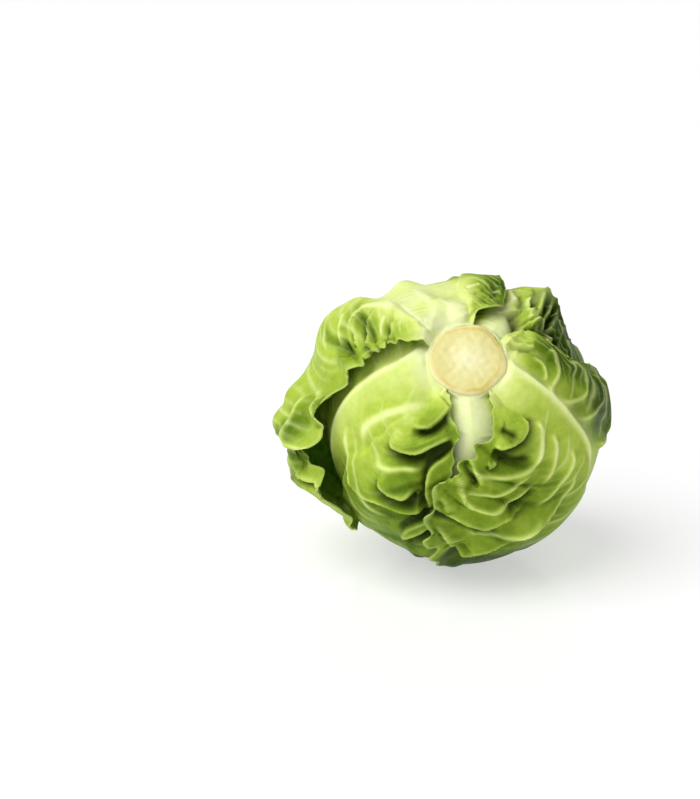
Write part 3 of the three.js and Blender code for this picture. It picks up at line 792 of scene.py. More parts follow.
UPPER = LeafForm(
    name="leaf_upper",
    node="outer_leaf_upper",
    slot="outer_leaf",
    radius=19,
    pleats=Pleats((0.4, 0.6), (1.2, 5), 0.25),
    folds=(
        Fold(
            ((60, 116), (44, 118), (34, 117), (28, 119), (23, 124), (20, 138), (17.5, 158)), (1, 1),
            (4, 9), (0.3, 0.1),
        ),
        Fold(((35, 114), (28, 107), (22, 101), (17.5, 90)), (0.8, 0.8), (5, 4), (0.2, 0.1)),
        Fold(((53, 137), (42, 134), (34, 135), (27, 138), (20, 144)), (0.6, 0.6), (4, 5)),
        Fold(((50, 161), (53, 154), (56, 146), (54, 142), (46, 139), (38, 137)), (0.8, 0.8), (4, 6)),
        Fold(((48, 141), (47, 150), (45, 157), (43, 167)), (0.8, -0.8), (3, 1.6), (0.3, 0.05)),
        Fold(((54, 143), (52, 152), (49, 165)), (0.7, -0.7), (2.6, 1.6), (0.3, 0.05)),
        Fold(((38, 146), (35, 154), (32, 164)), (0.7, -0.8), (2.6, 1.6), (0.3, 0.05)),
        furrow(((57, 159), (54, 164), (50, 170)), 0.9, 1.8, (0.1, 0.1)),
        furrow(((44, 165), (41, 170), (37, 174)), 0.7, 2, (0.2, 0.1)),
        ridge(((42, 143), (40, 150), (38, 160)), 0.4, 1.5),
        ridge(((62, 144), (60, 154), (57, 164)), 0.4, 1.5),
        ridge(((72, 142), (70, 152), (66, 164)), 0.4, 1.5),
        ridge(
            ((74, 177), (74, 181), (79, 184), (85, 185), (86, 189), (80, 195), (74, 200), (67, 204),
             (62, 205)), 0.9, 2, (0.1, 0.1),
        ),
        ridge(((68, 178), (67, 183), (66, 188), (65, 192), (63, 196)), 1, 1.6, (0.1, 0.2)),
        furrow(((69, 194), (66, 196), (63, 198)), 0.5, 1),
        Fold(((97, 187), (94, 195), (87, 204), (80, 211), (75, 216)), (1, -0.8), (3, 2), (0.1, 0)),
        ridge(((38, 92), (39, 86), (42, 81)), 0.25, 1.6),
        furrow(((35, 87), (34, 81), (32, 75)), 0.4, 1.4),
        furrow(((43, 76), (36, 72), (31, 71)), 0.6, 1.4),
        furrow(((44, 72), (39, 68), (33, 67)), 0.5, 1.2),
    ),
    crumples=(
        Crumple((92, 190), 18, 0.4, 0.4, 0.16),
        Crumple((36, 78), 12, 0.3, 0.6, 0.02),
        Crumple((70, 186), 9, 0.4, 0.5),
        Crumple((50, 161), 13, 0.45, 0.5, 0.12),
    ),
    jag=0.02,
    teeth=(0.004, 0.022),
    frill=0.45,
    blur=3,
    cells=(270, 160),
    spacing=((0, 0), (0.85, 8.6), (1, 10)),
    flare=Flare(5.3, (4.9, 6.5, 8.1, 9.3), 0.25, 0.16, (7.35, 0.11)),
    humps=(
        Hump((25, 143), 7, 0.7),
        Hump((26, 94), 7, 0.7),
        Hump((49, 82), 9, 0.9),
        Hump((60, 74), 5, -2.2),
        Hump((63, 91), 5, -0.6),
        Hump((63, 104), 6, -1.1),
        Hump((62, 118), 6, 1.3),
        Hump((77, 149), 19, 3),
        Hump((75, 191), 5, -1.2),
        Hump((78, 207), 5, -0.8),
    ),
    tones=Tones(0.12, (0.6, 0.38), (0.72, 0.52), 0.4),
    rows=(
        ((16.3, 80), (16.3, 97), (16.3, 116), (16.3, 138), (16.3, 158)),
        ((22, 78), (24, 95), (24, 116), (28, 139), (22, 160)),
        ((24, 66), (32, 87), (33, 111), (40, 138), (27, 165)),
        ((29, 62), (39, 83), (41, 108), (56, 138), (35, 168)),
        ((40, 68), (53, 86), (52, 107), (74, 143), (45, 175)),
        ((58, 76), (67, 90), (64, 107), (84, 152), (56, 183)),
        ((76, 76), (82, 88), (78, 107), (95, 160), (63, 194)),
        ((93, 66), (97, 82), (94, 106), (104, 165), (69, 204)),
        ((112, 48), (114, 72), (112, 104), (118, 169), (76, 211)),
        ((132, 45), (132, 70), (132, 100), (138, 163), (89, 222)),
        ((149, 55), (151, 72), (153, 100), (153, 150), (118, 222)),
    ),
)
OUTER_LEAVES = (LOWER, UPPER_RIGHT, LEFT, RIGHT, UPPER)
INNER_AZIMUTHS = (217, 355, 132)


def inner_form(number: int) -> LeafForm:
    """Plain blade over the crown, turned round the stem axis to one of the inner azimuths.

    Args:
        number: which of them, counted from the heart outwards.

    Returns:
        The leaf's form.
    """
    theta_from, theta_to, row_count = 62, 196, 8
    half_width = ((0, 30), (0.35, 47), (0.7, 42), (0.9, 26), (1, 14))
    azimuth = INNER_AZIMUTHS[number]
    aside = direction(90, azimuth + 90)
    rows = []
    for t in np.linspace(0, 1, row_count):
        middle = direction(lerp(theta_from, theta_to, t), azimuth)
        turns = np.radians(np.linspace(-1, 1, 5) * look_up(half_width, t))
        rows.append([middle * math.cos(turn) + aside * math.sin(turn) for turn in turns])
    return LeafForm(
        name=f"crown_leaf_{number + 1}",
        node=f"inner_leaf_{number + 1}",
        slot="inner_leaf",
        rest_layer=2 + len(INNER_AZIMUTHS) - 1 - number,
        frill=0.2,
        cells=(60, 60),
        tones=Tones(0.3, (0.5, 0.5), (0.6, 0.6)),
        rows=tuple(rows),
    )


class Leaf:
    """One leaf laid over the head: a fine folded blade with its tones."""

    STALK = 1.9  # wall at the base of the midrib, in millimetres
    THIN = 0.42  # wall of the blade
    WALL_STEPS = 24  # how finely the wall between the two is graded
    NEIGHBOURS = 2.2  # degrees within which a leaf rests on the highest point under it
    REST = 0.55  # least rise over what lies directly under it
    SHADED = (0.5, 5)  # heights over the surface between which the painted shade near the floor fades
    BLEACHED = (13, 32)  # theta over which the white of the stem turns green
    UNEVEN = 0.16  # how far a vein line wanders from its row
    # Shares of the half blade between which its margin changes.
    MARGIN = (0.8, 1)
    FRILLED = (0.75, 1)
    TUCKED = (0.82, 1)
    SMOOTHED = (0.86, 1)
    JAGGED = (0.7, 1)
    TOOTHED = (0.85, 1)
    RIM = (0.988, 1)
    # How much it changes there, as a share of the wall and of the creases where it is tucked.
    THINNED = 0.4
    CREASES_LOST = 0.45
    FRILL_BEGINS = (0.2, 1)  # rows
    NICKED = 0.3  # share of the waviness below which the margin is cut back
    TEETH_END = (0.4, 0.5)  # shares of the length
    CROWDED = (0.5, 2.4)  # rise over its own radius, in millimetres, between which the relief flattens
    FLATTENED = 0.6  # how much of it is lost there
    STALK_WIDTH = 0.5  # share of the half blade
    STALK_ENDS = (0.3, 2.4)  # rows

    def __init__(self, form: LeafForm, seed: int) -> None:
        """Reads the vein lines and draws the leaf's waviness.

        Args:
            form: what shapes the leaf.
            seed: whole number that fixes the draws.
        """
        self.form = form
        rows = np.array(form.rows, dtype=float)
        self.rows = rows if rows.shape[-1] == 3 else direction(rows[..., 0], rows[..., 1])
        self.fold, self.crease = Waviness(seed, 9), Waviness(seed + 90, 8)
        self.ruffle, self.pucker = Waviness(seed + 50, 3.6), Waviness(seed + 130, 3.2, 24)
        self.wrinkle = Waviness(seed + 170, 1.5, 24)

    def places(self, along: Array, across: Array) -> Array:
        """Runs a smooth curve through the vein lines' places, and a parabola along each half of a line.

        Args:
            along: row numbers of the vein lines.
            across: from -1 at the first edge through 0 at the rib to 1 at the last edge.

        Returns:
            Unit vectors.
        """
        last = len(self.rows) - 1
        row = np.clip(np.floor(along), 0, last - 1).astype(int)
        t = along - row
        weights = (
            (-t + 2 * t**2 - t**3) / 2,
            (2 - 5 * t**2 + 3 * t**3) / 2,
            (t + 4 * t**2 - 3 * t**3) / 2,
            (-(t**2) + t**3) / 2,
        )
        side = np.where(across < 0, -1, 1)
        a = np.abs(across)
        shares = ((1 - a) * (1 - 2 * a), 4 * a * (1 - a), a * (2 * a - 1))
        points = np.zeros((*along.shape, 3))
        for step, weight in zip((-1, 0, 1, 2), weights):
            line = np.clip(row + step, 0, last)
            for j, share in enumerate(shares):
                points += (weight * share)[..., None] * self.rows[line, 2 + side * j]
        return points / np.linalg.norm(points, axis=-1, keepdims=True)

    def phase(self, along: Array, places: Array) -> Array:
        """Row number of the vein lines, a little uneven; pleats meet at its whole numbers."""
        return along + self.UNEVEN * self.fold.at(places)

    def pleat_size(self, along: Array, across: Array, places: Array) -> Array:
        """Full height of the pleats, from nothing at the rib.

        Args:
            along: row numbers of the vein lines.
            across: -1 to 1 across the blade.
            places: unit vectors of the same points.

        Returns:
            The height, in millimetres.
        """
        pleats = self.form.pleats
        if pleats is None:
            return np.zeros_like(along)
        low, high = pleats.rows
        in_folds = smooth(low, low + pleats.BEGIN, along) * (1 - smooth(high - pleats.END, high, along))
        size = np.where(across < 0, *pleats.heights) * (1 + pleats.UNEVEN * self.crease.at(places))
        a = np.abs(across)
        grown = smooth(pleats.start, pleats.start + pleats.fade, a)
        return size * in_folds * grown * (1 - pleats.FLATTENED * smooth(*self.MARGIN, a))

    def creases(self, along: Array, across: Array, places: Array) -> Array:
        """Height of the fine relief: pleats, crumples, folds and frill.

        Args:
            along: row numbers of the vein lines.
            across: -1 to 1 across the blade.
            places: unit vectors of the same points.

        Returns:
            The height, in millimetres.
        """
        form = self.form
        a = np.abs(across)
        frilled = smooth(*self.FRILLED, a) * smooth(*self.FRILL_BEGINS, along)
        height = form.frill * frilled * (1 + self.ruffle.at(places))
        size = self.pleat_size(along, across, places)
        phase = self.phase(along, places)
        lesser_phase = Pleats.LESSER * phase + Pleats.LESSER_WANDER * self.crease.at(places)
        lesser = np.abs(np.sin(np.pi * lesser_phase)) ** Pleats.LESSER_BLUNT
        lesser = Pleats.LESSER_HEIGHT * smooth(*Pleats.LESSER_FROM, a) * lesser
        height += size * (np.abs(np.sin(np.pi * phase)) ** Pleats.BLUNT + lesser)
        for crumple in form.crumples:
            patch = 1 - smooth(crumple.FULL * crumple.reach, crumple.reach, turn_to(places, crumple.at))
            ridges = 1 - np.minimum(1, crumple.SHARP * np.abs(self.crease.at(places)))
            small = 1 - np.minimum(1, crumple.SHARP_SMALL * np.abs(self.pucker.at(places)))
            height += crumple.height * patch * lerp(ridges, small, crumple.small)
        height += sum(fold.height(places) for fold in form.folds)
        tucked = np.where(across < 0, *form.tucks) > 0
        return height * (1 - self.CREASES_LOST * smooth(*self.SMOOTHED, a) * tucked)

    def swells(self, along: Array, across: Array, places: Array) -> Array:
        """Height of the broad relief: rib, humps and flaps.

        Args:
            along: row numbers of the vein lines.
            across: -1 to 1 across the blade.
            places: unit vectors of the same points.

        Returns:
            The height, in millimetres.
        """
        form = self.form
        a = np.abs(across)
        height = np.zeros_like(along)
        if form.rib:
            share = along / (len(self.rows) - 1)
            width = lerp(*form.rib.width, smooth(*form.rib.WIDENS, share))
            height += form.rib.height * bell(a, width) * (1 - smooth(*form.rib.FADES, share))
        for hump in form.humps:
            height += hump.height * bell(turn_to(places, hump.at), hump.size)
        flare = form.flare
        if flare:
            start, full, fade, end = flare.rows
            standing = smooth(start, full, along) * (1 - smooth(fade, end, along)) * (across >= 0)
            curls = 1 + flare.curl * (np.sin(flare.CURLS * np.pi * along) - 1)
            roll = smooth(flare.start, flare.FULL, a) * (1 - flare.ROLLED * smooth(*flare.ROLLING, a))
            height += flare.height * standing * roll * curls
        return height

    def tones(self, along: Array, across: Array, places: Array, level: Array) -> dict[str, Array]:
        """Works out what the leaf finish reads.

        Args:
            along: row numbers of the vein lines.
            across: -1 to 1 across the blade.
            places: unit vectors of the same points.
            level: their height over the surface, in millimetres.

        Returns:
            The values of each attribute, by its name.
        """
        tones = self.form.tones
        a = np.abs(across)
        share = along / (len(self.rows) - 1)
        phase = self.phase(along, places)
        pleats = np.minimum(self.pleat_size(along, across, places), 1)
        # Painted shade along the pleats' furrows.
        furrow = smooth(*tones.FURROW_SHADE, off_middle(phase)) * pleats
        tip, base = tones.WHITE
        white = tip + base * (1 - smooth(*tones.WHITE_ENDS, share))
        right = smooth(*tones.SIDES, across)
        greened = smooth(white, white + tones.GREENING, a + tones.NARROWING * share)
        tone = lerp(tones.rib, lerp(*tones.blade, right), greened)
        tone = lerp(tone, lerp(*tones.margin, right), smooth(*tones.MARGIN, a))
        for crumple in self.form.crumples:
            full = crumple.FULL_TONE * crumple.reach
            patch = 1 - smooth(full, crumple.reach, turn_to(places, crumple.at))
            mottle = crumple.PALENESS * (crumple.PALE_ABOVE - self.crease.at(places))
            tone = tone + patch * (crumple.tone + mottle)
        theta, _ = angles(places)
        # Painted shade in the folds' gaps, and painted highlights on their ridges and lips.
        shade = sum((fold.shade(places) for fold in self.form.folds), np.zeros_like(along))
        # Painted shade along the pleats' furrows, and painted highlights on the folds' ridges and lips.
        tone = tone + tones.furrow * furrow + tones.RIDGE_HIGHLIGHT * np.minimum(shade, 0)
        # Painted shade near the surface, where the leaf lies in shadow close to the floor.
        tone = tone + tones.UNDERSIDE_SHADE * (1 - smooth(*self.SHADED, level))
        tone = tone * smooth(*self.BLEACHED, theta)
        veins = np.maximum(self.veins(along, across, phase), self.rib_vein(a, share))
        return {
            "tone": np.clip(tone, 0, 1),
            # Pale veins, with painted highlights on the folds' ridges and lips.
            "vein": np.clip(veins + Veins.RIDGE_HIGHLIGHT_SHARE * np.maximum(-shade, 0), 0, 1),
            # Painted shade in the folds' gaps and the pleats' furrows.
            "gap_shade": np.clip(np.maximum(tones.FURROW_IN_GAP_SHADE * furrow, shade), 0, 1),
            "edge": smooth(*self.RIM, a),
        }

    def veins(self, along: Array, across: Array, phase: Array) -> Array:
        """Draws the side veins and their branches.

        Args:
            along: row numbers of the vein lines.
            across: -1 to 1 across the blade.
            phase: the same row numbers, a little uneven.

        Returns:
            How pale each point is, from 0 to 1.
        """
        a = np.abs(across)
        vein = bell(off_middle(phase), Veins.WIDTH)
        vein = vein * smooth(*Veins.STARTS, a) * smooth(*Veins.BEGINS, along)
        slanted = Veins.BRANCHES * phase + Veins.SLANT * a
        branch = bell(off_middle(slanted), Veins.BRANCH_WIDTH) * smooth(*Veins.BRANCH_STARTS, a)
        veins = np.maximum(vein, Veins.BRANCH_SHARE * branch) * (1 - smooth(*Veins.ENDS, a))
        folded = smooth(*Veins.FOLDED, a) * (np.where(across < 0, *self.form.tucks) > 0)
        return veins * (1 - Veins.HIDDEN * folded)

    @staticmethod
    def rib_vein(a: Array, share: Array) -> Array:
        """How pale the rib is, at shares of the half blade and of the length."""
        return Veins.RIB_SHARE * bell(a, Veins.RIB_WIDTH) * (1 - smooth(*Veins.RIB_ENDS, share))

    def grid(self) -> tuple[Array, Array]:
        """Spreads the blade's grid, closer together towards the edges.

        Returns:
            Row numbers along the blade and -1 to 1 across it, at every point.
        """
        form = self.form
        rows, columns = form.cells
        spacing = form.spacing or ((0, 0), (1, len(self.rows) - 1))
        even = look_up(((0, -1), (form.lean, 0), (1, 1)), np.linspace(0, 1, columns + 1))
        shares = (2 * even + np.sin(np.pi * even / 2)) / 3
        across, along = np.meshgrid(shares, look_up(spacing, np.linspace(0, 1, rows + 1)), indexing="ij")
        return along, across

    def ragged(self, along: Array, across: Array) -> Array:
        """Makes the margin uneven.

        Args:
            along: row numbers of the vein lines.
            across: -1 to 1 across the blade.

        Returns:
            How far out the blade reaches at each point, as a share of its smooth outline.
        """
        form = self.form
        a = np.abs(across)
        places = self.places(along, across)
        waves = form.jag * smooth(*self.JAGGED, a) * (self.pucker.at(places) - self.NICKED)
        teeth = np.where(across < 0, *form.teeth) * smooth(*self.TOOTHED, a) * self.wrinkle.at(places)
        reach = 1 + waves + teeth * (1 - smooth(*self.TEETH_END, along / (len(self.rows) - 1)))
        if form.flare:
            row, depth = form.flare.notch
            width, opens = form.flare.NOTCH_WIDTH, form.flare.NOTCH_FROM
            reach -= depth * bell(along - row, width) * smooth(*opens, across)
        return reach

    def radii(self, along: Array, across: Array, places: Array, underlay: Underlay) -> Array:
        """Lays the leaf over what is already there.

        Args:
            along: row numbers of the vein lines.
            across: -1 to 1 across the blade.
            places: unit vectors of the same points.
            underlay: how far out the head reaches so far.

        Returns:
            How far out the leaf's outer face lies, in millimetres.
        """
        form = self.form
        theta, _ = angles(places)
        under = underlay.grown(self.NEIGHBOURS).blurred(form.blur).at(places)
        floor = form.radius * look_up(SHOULDER, theta)
        tuck = np.where(across < 0, *form.tucks) * smooth(*self.TUCKED, np.abs(across))
        bed = np.maximum(under + STACK, floor - tuck)
        room = 1 - self.FLATTENED * smooth(*self.CROWDED, bed - floor) * (form.radius > 0)
        outer = bed + self.creases(along, across, places) * room + self.swells(along, across, places)
        outer = np.maximum(outer, underlay.at(places) + self.REST)
        at_stem = (1 - smooth(*Stem.BESIDE, theta)) * (theta < 20)
        return lerp(outer, Stem.MEETING, at_stem)

    def build(self, underlay: Underlay) -> bpy.types.Object:
        """Makes the blade and raises the underlay to it.

        Args:
            underlay: how far out the head reaches so far.

        Returns:
            The leaf's object.
        """
        form = self.form
        along, across = self.grid()
        places = self.places(along, across * self.ragged(along, across))
        theta, _ = angles(places)
        points = places * self.radii(along, across, places, underlay)[..., None]
        underlay.raise_to(points.reshape(-1, 3))
        near_stem, clear_of_stem = Stem.LEANING
        points[..., :2] += np.array(Stem.LEAN) * (1 - smooth(near_stem, clear_of_stem, theta))[..., None]
        if form.rest_layer is not None:
            points = LIE.lifted(points, form.rest_layer * STACK)
            underlay.raise_to(points[theta > clear_of_stem])
        stalk = bell(across, self.STALK_WIDTH) * (1 - smooth(*self.STALK_ENDS, along))
        wall = lerp(self.THIN, self.STALK, stalk * (1 if form.rib else 0))
        thickness = wall * (1 - self.THINNED * smooth(*self.MARGIN, np.abs(across)))
        points = LIE.laid(points)
        return self.blade(points, thickness, self.tones(along, across, places, points[..., 2]))

    def blade(self, points: Array, thickness: Array, tones: dict[str, Array]) -> bpy.types.Object:
        """Bends a grid to the leaf's outer face and thickens it inwards.

        Args:
            points: outer face, in millimetres, across the leaf and then along it.
            thickness: wall at every point, in millimetres.
            tones: attributes of the leaf finish at every point.

        Returns:
            The leaf's object.
        """
        across, along = thickness.shape
        bpy.ops.object.select_all(action="DESELECT")
        bpy.ops.mesh.primitive_grid_add(x_subdivisions=along - 1, y_subdivisions=across - 1, size=1)
        leaf = bpy.context.object
        leaf.name = leaf.data.name = self.form.name
        leaf.data.vertices.foreach_set("co", (points * MM).ravel())
        for name, values in tones.items():
            attribute = leaf.data.attributes.new(name, "FLOAT", "POINT")
            attribute.data.foreach_set("value", values.ravel())
        group = leaf.vertex_groups.new(name="wall")
        level = np.rint(thickness.ravel() / self.STALK * self.WALL_STEPS).astype(int)
        for step in np.unique(level):
            group.add(np.flatnonzero(level == step).tolist(), step / self.WALL_STEPS, "REPLACE")
        wall = leaf.modifiers.new("wall", "SOLIDIFY")
        wall.thickness = self.STALK * MM
        wall.offset = -1
        wall.vertex_group = group.name
        bpy.ops.object.modifier_apply(modifier=wall.name)
        bpy.ops.object.shade_smooth_by_angle(angle=math.radians(70))
        return leaf


# ---------------------------------------------------------------- heart and stem


@dataclass(frozen=True)
class Heart:
    """The dense heart: a ball with a well for the stem."""

    outline: tuple[Station, ...] = ((19, 13.6), (30, 15), (60, 15.9), (110, 15.9), (180, 15.6))
    well_angle: float = 19.0
    well_radius: float = 12.6

    def radius(self, theta: Array, phi: Array) -> Array:
        """Radius of the ball, flattened over the resting spot.

        Args:
            theta: degrees from the stem axis.
            phi: degrees round the stem axis.

        Returns:
            The radius at each place, in millimetres.
        """
        in_well = smooth(self.well_angle - 2, self.well_angle + 1, theta)
        radius = lerp(self.well_radius, look_up(self.outline, theta), in_well)
        level = (2 + len(INNER_AZIMUTHS)) * STACK
        return np.linalg.norm(LIE.lifted(direction(theta, phi) * radius[..., None], level), axis=-1)

    def build(self) -> bpy.types.Object:
        """Makes the ball from a sphere, each point moved out to its radius.

        Returns:
            The ball's object.
        """
        bpy.ops.object.select_all(action="DESELECT")
        bpy.ops.mesh.primitive_uv_sphere_add(segments=96, ring_count=72, radius=1)
        ball = bpy.context.object
        ball.name = ball.data.name = "heart_ball"
        places = np.empty(len(ball.data.vertices) * 3)
        ball.data.vertices.foreach_get("co", places)
        places = places.reshape(-1, 3)
        radius = self.radius(*angles(places))
        ball.data.vertices.foreach_set("co", (LIE.laid(places * radius[:, None]) * MM).ravel())
        bpy.ops.object.shade_smooth()
        return ball


@dataclass(frozen=True)
class Stem:
    """The cut stem: a short stub with a rounded rim, spun on the stem axis."""

    MEETING: ClassVar[float] = 17.95  # how far out the leaf bases meet its side
    BESIDE: ClassVar[Station] = (16.7, 19)  # theta over which they come away from it
    LEAN: ClassVar[tuple[float, float]] = (-0.34, 0.6)  # how far right and up its face lies off the axis
    LEANING: ClassVar[Station] = (18, 32)  # theta over which the leaf bases stop leaning with it
    RIM: ClassVar[tuple[Station, ...]] = ((0, 1.1), (0.04, 0.5), (-0.02, 0.34), (-0.18, 0.22), (-0.5, 0.14))

    FACE: ClassVar[Station] = (-0.8, -0.3)  # heights beside the top where the side turns into the face
    LUMPY: ClassVar[float] = 0.03  # how far its rim wanders, as a share of its radius
    LUMPY_FROM: ClassVar[Ends] = (0.5, 1)  # shares of the way out
    ROUGH: ClassVar[tuple[float, float]] = (0.06, 0.035)  # height of the face's lumps and of its grain

    half_angle: float = 16.9
    top: float = 17.7
    foot: float = 13.2
    face_inset: float = 0.9
    sides: int = 120
    rings: int = 26

    def profile(self) -> list[Station]:
        """Outline that is spun on the stem axis.

        Returns:
            Distance from the axis and height, from the foot's middle to the cut face's.
        """
        slope = math.tan(math.radians(self.half_angle))
        edge = (self.top - self.RIM[0][1]) * slope
        stations = [(0.0, self.foot), (self.foot * slope, self.foot)]
        stations += [(edge + out, self.top - down) for out, down in self.RIM]
        for k in range(self.rings + 1):
            share = k / self.rings
            stations.append(((edge - self.face_inset) * (1 - share), self.top - 0.1 + 0.2 * share))
        return stations

    def build(self) -> bpy.types.Object:
        """Spins the profile, closes it and roughens the cut face.

        Returns:
            The stub's object.
        """
        profile = self.profile()
        mesh = bpy.data.meshes.new("stem_stub")
        edges = [(k, k + 1) for k in range(len(profile) - 1)]
        mesh.from_pydata([(x, 0.0, z) for x, z in profile], edges, [])
        stub = bpy.data.objects.new("stem_stub", mesh)
        bpy.context.collection.objects.link(stub)
        bpy.ops.object.select_all(action="DESELECT")
        bpy.context.view_layer.objects.active = stub
        stub.select_set(True)
        bpy.ops.object.mode_set(mode="EDIT")
        bpy.ops.mesh.select_all(action="SELECT")
        bpy.ops.mesh.spin(steps=self.sides, angle=2 * math.pi, center=(0, 0, 0), axis=(0, 0, 1))
        bpy.ops.mesh.select_all(action="SELECT")
        bpy.ops.mesh.remove_doubles(threshold=1e-4)
        bpy.ops.mesh.normals_make_consistent(inside=False)
        bpy.ops.object.mode_set(mode="OBJECT")
        points = np.empty(len(mesh.vertices) * 3)
        mesh.vertices.foreach_get("co", points)
        points = points.reshape(-1, 3)
        lump, grain = Waviness(71, 6), Waviness(72, 1.3, 24)
        places = points / np.linalg.norm(points, axis=1)[:, None]
        out = np.hypot(points[:, 0], points[:, 1]) / (self.top * math.tan(math.radians(self.half_angle)))
        face = smooth(*(self.top + height for height in self.FACE), points[:, 2])
        points[:, :2] *= (1 + self.LUMPY * lump.at(places) * smooth(*self.LUMPY_FROM, out))[:, None]
        lumps, grains = self.ROUGH
        points[:, 2] += face * (lumps * lump.at(places) + grains * grain.at(places))
        points[:, :2] += np.array(self.LEAN) * smooth(self.foot, self.top, points[:, 2:])
        mesh.vertices.foreach_set("co", (LIE.laid(points) * MM).ravel())
        attribute = mesh.attributes.new("out", "FLOAT", "POINT")
        attribute.data.foreach_set("value", out)
        bpy.ops.object.shade_smooth()
        return stub


# ---------------------------------------------------------------- finishes


class Value:
    """A socket that shader maths is written on."""

    def __init__(self, graph: "Graph", socket: bpy.types.NodeSocket) -> None:
        """Keeps the socket with the graph that it belongs to."""
        self.graph = graph
        self.socket = socket

    def _math(self, operation: str, first: "Value | float", second: "Value | float") -> "Value":
        """One Math node on two numbers."""
        return self.graph.add("ShaderNodeMath", {"operation": operation}, {0: first, 1: second})

    def __add__(self, other: "Value | float") -> "Value":
        """Sum."""
        return self._math("ADD", self, other)

    __radd__ = __add__

    def __mul__(self, other: "Value | float") -> "Value":
        """Product."""
        return self._math("MULTIPLY", self, other)

    __rmul__ = __mul__

    def __sub__(self, other: "Value | float") -> "Value":
        """Difference."""
        return self._math("SUBTRACT", self, other)

    def __rsub__(self, other: "Value | float") -> "Value":
        """Difference from a number."""
        return self._math("SUBTRACT", other, self)


class Graph:
    """Nodes of one material."""

    def __init__(self, name: str) -> None:
        """Starts a material with only its Principled shader.

        Args:
            name: the material's name.
        """
        self.material = bpy.data.materials.new(name)
        self.material.use_nodes = True
        self.tree = self.material.node_tree
        self.shader = self.tree.nodes["Principled BSDF"]

    def add(self, kind: str, settings: dict | None = None, inputs: dict | None = None,
            output: int | str = 0) -> Value:
        """Adds one node.

        Args:
            kind: the node's type.
            settings: its properties, set first; "stops" are a ramp's (place, colour) stops.
            inputs: a number, colour or Value for each named or numbered socket.
            output: the socket that is wanted.

        Returns:
            The node's output.
        """
        node = self.tree.nodes.new(kind)
        for name, value in (settings or {}).items():
            if name == "stops":
                self._set_stops(node.color_ramp, value)
            else:
                setattr(node, name, value)
        for name, value in (inputs or {}).items():
            if isinstance(value, Value):
                self.tree.links.new(value.socket, node.inputs[name])
            else:
                node.inputs[name].default_value = value
        return Value(self, node.outputs[output])

    @staticmethod
    def _set_stops(ramp: bpy.types.ColorRamp, stops: tuple) -> None:
        """Gives a ramp its stops.

        Args:
            ramp: the ramp of a node that was just added.
            stops: a (place, colour) pair for each stop, in order.
        """
        while len(ramp.elements) < len(stops):
            ramp.elements.new(1.0)
        for element, (place, colour) in zip(ramp.elements, stops):
            element.position = place
            element.color = colour

    def attribute(self, name: str) -> Value:
        """A number kept at every point of the mesh."""
        return self.add("ShaderNodeAttribute", {"attribute_name": name}, output="Fac")

    def position(self) -> Value:
        """Object coordinates."""
        return self.add("ShaderNodeTexCoord", output="Object")

    def noise(self, scale: float, detail: float) -> Value:
        """Noise from 0 to 1, by cells to the metre."""
        inputs = {"Vector": self.position(), "Scale": scale, "Detail": detail}
        return self.add("ShaderNodeTexNoise", inputs=inputs)

    def ramp(self, value: Value, stops: tuple) -> Value:
        """Colour ramp with straight steps."""
        return self.add("ShaderNodeValToRGB", {"stops": stops}, {"Fac": value})

    def mix(self, share: Value, first: Value | tuple, second: Value | tuple) -> Value:
        """Mixes two colours."""
        settings = {"data_type": "RGBA", "blend_type": "MIX", "clamp_factor": True}
        return self.add("ShaderNodeMix", settings, {0: share, 6: first, 7: second}, output=2)

    def stepped(self, value: Value, low: float, high: float) -> Value:
        """Smooth step of a value from 0 at low to 1 at high."""
        inputs = {"Value": value, "From Min": low, "From Max": high, "To Min": 0.0, "To Max": 1.0}
        return self.add("ShaderNodeMapRange", {"interpolation_type": "SMOOTHSTEP"}, inputs)

    def bump(self, height: Value, distance: float, strength: float) -> Value:
        """Normal from a height times a distance in metres."""
        inputs = {"Height": height, "Distance": distance, "Strength": strength}
        return self.add("ShaderNodeBump", inputs=inputs, output="Normal")

    def drive(self, **links: Value) -> None:
        """Links the shader's sockets, underscores standing for spaces."""
        for name, value in links.items():
            self.tree.links.new(value.socket, self.shader.inputs[name.replace("_", " ")])

    def fix(self, **numbers: float | tuple) -> None:
        """Sets the shader's own sockets, underscores standing for spaces."""
        for name, value in numbers.items():
            self.shader.inputs[name.replace("_", " ")].default_value = value


def colour(red: int, green: int, blue: int) -> Colour:
    """Colour from display values up to 255.

    Args:
        red: share of red.
        green: share of green.
        blue: share of blue.

    Returns:
        The same colour in linear values, opaque.
    """

    def linear(value: float) -> float:
        """One channel."""
        share = value / 255
        return share / 12.92 if share <= 0.04045 else ((share + 0.055) / 1.055) ** 2.4

    return (linear(red), linear(green), linear(blue), 1.0)


class Green(Enum):
    """Greens of a leaf, from its white rib to the painted shade of its darkest folds; the last is the
    painted shade of their gaps.
    """

    WHITE = colour(234, 242, 184)
    PALE = colour(213, 227, 126)
    FRESH = colour(173, 197, 72)
    MID = colour(128, 156, 38)
    DEEP = colour(86, 115, 18)
    DARK = colour(48, 76, 8)
    # Near-black green, painted shade for the deepest gaps.
    GAP = colour(15, 32, 0)


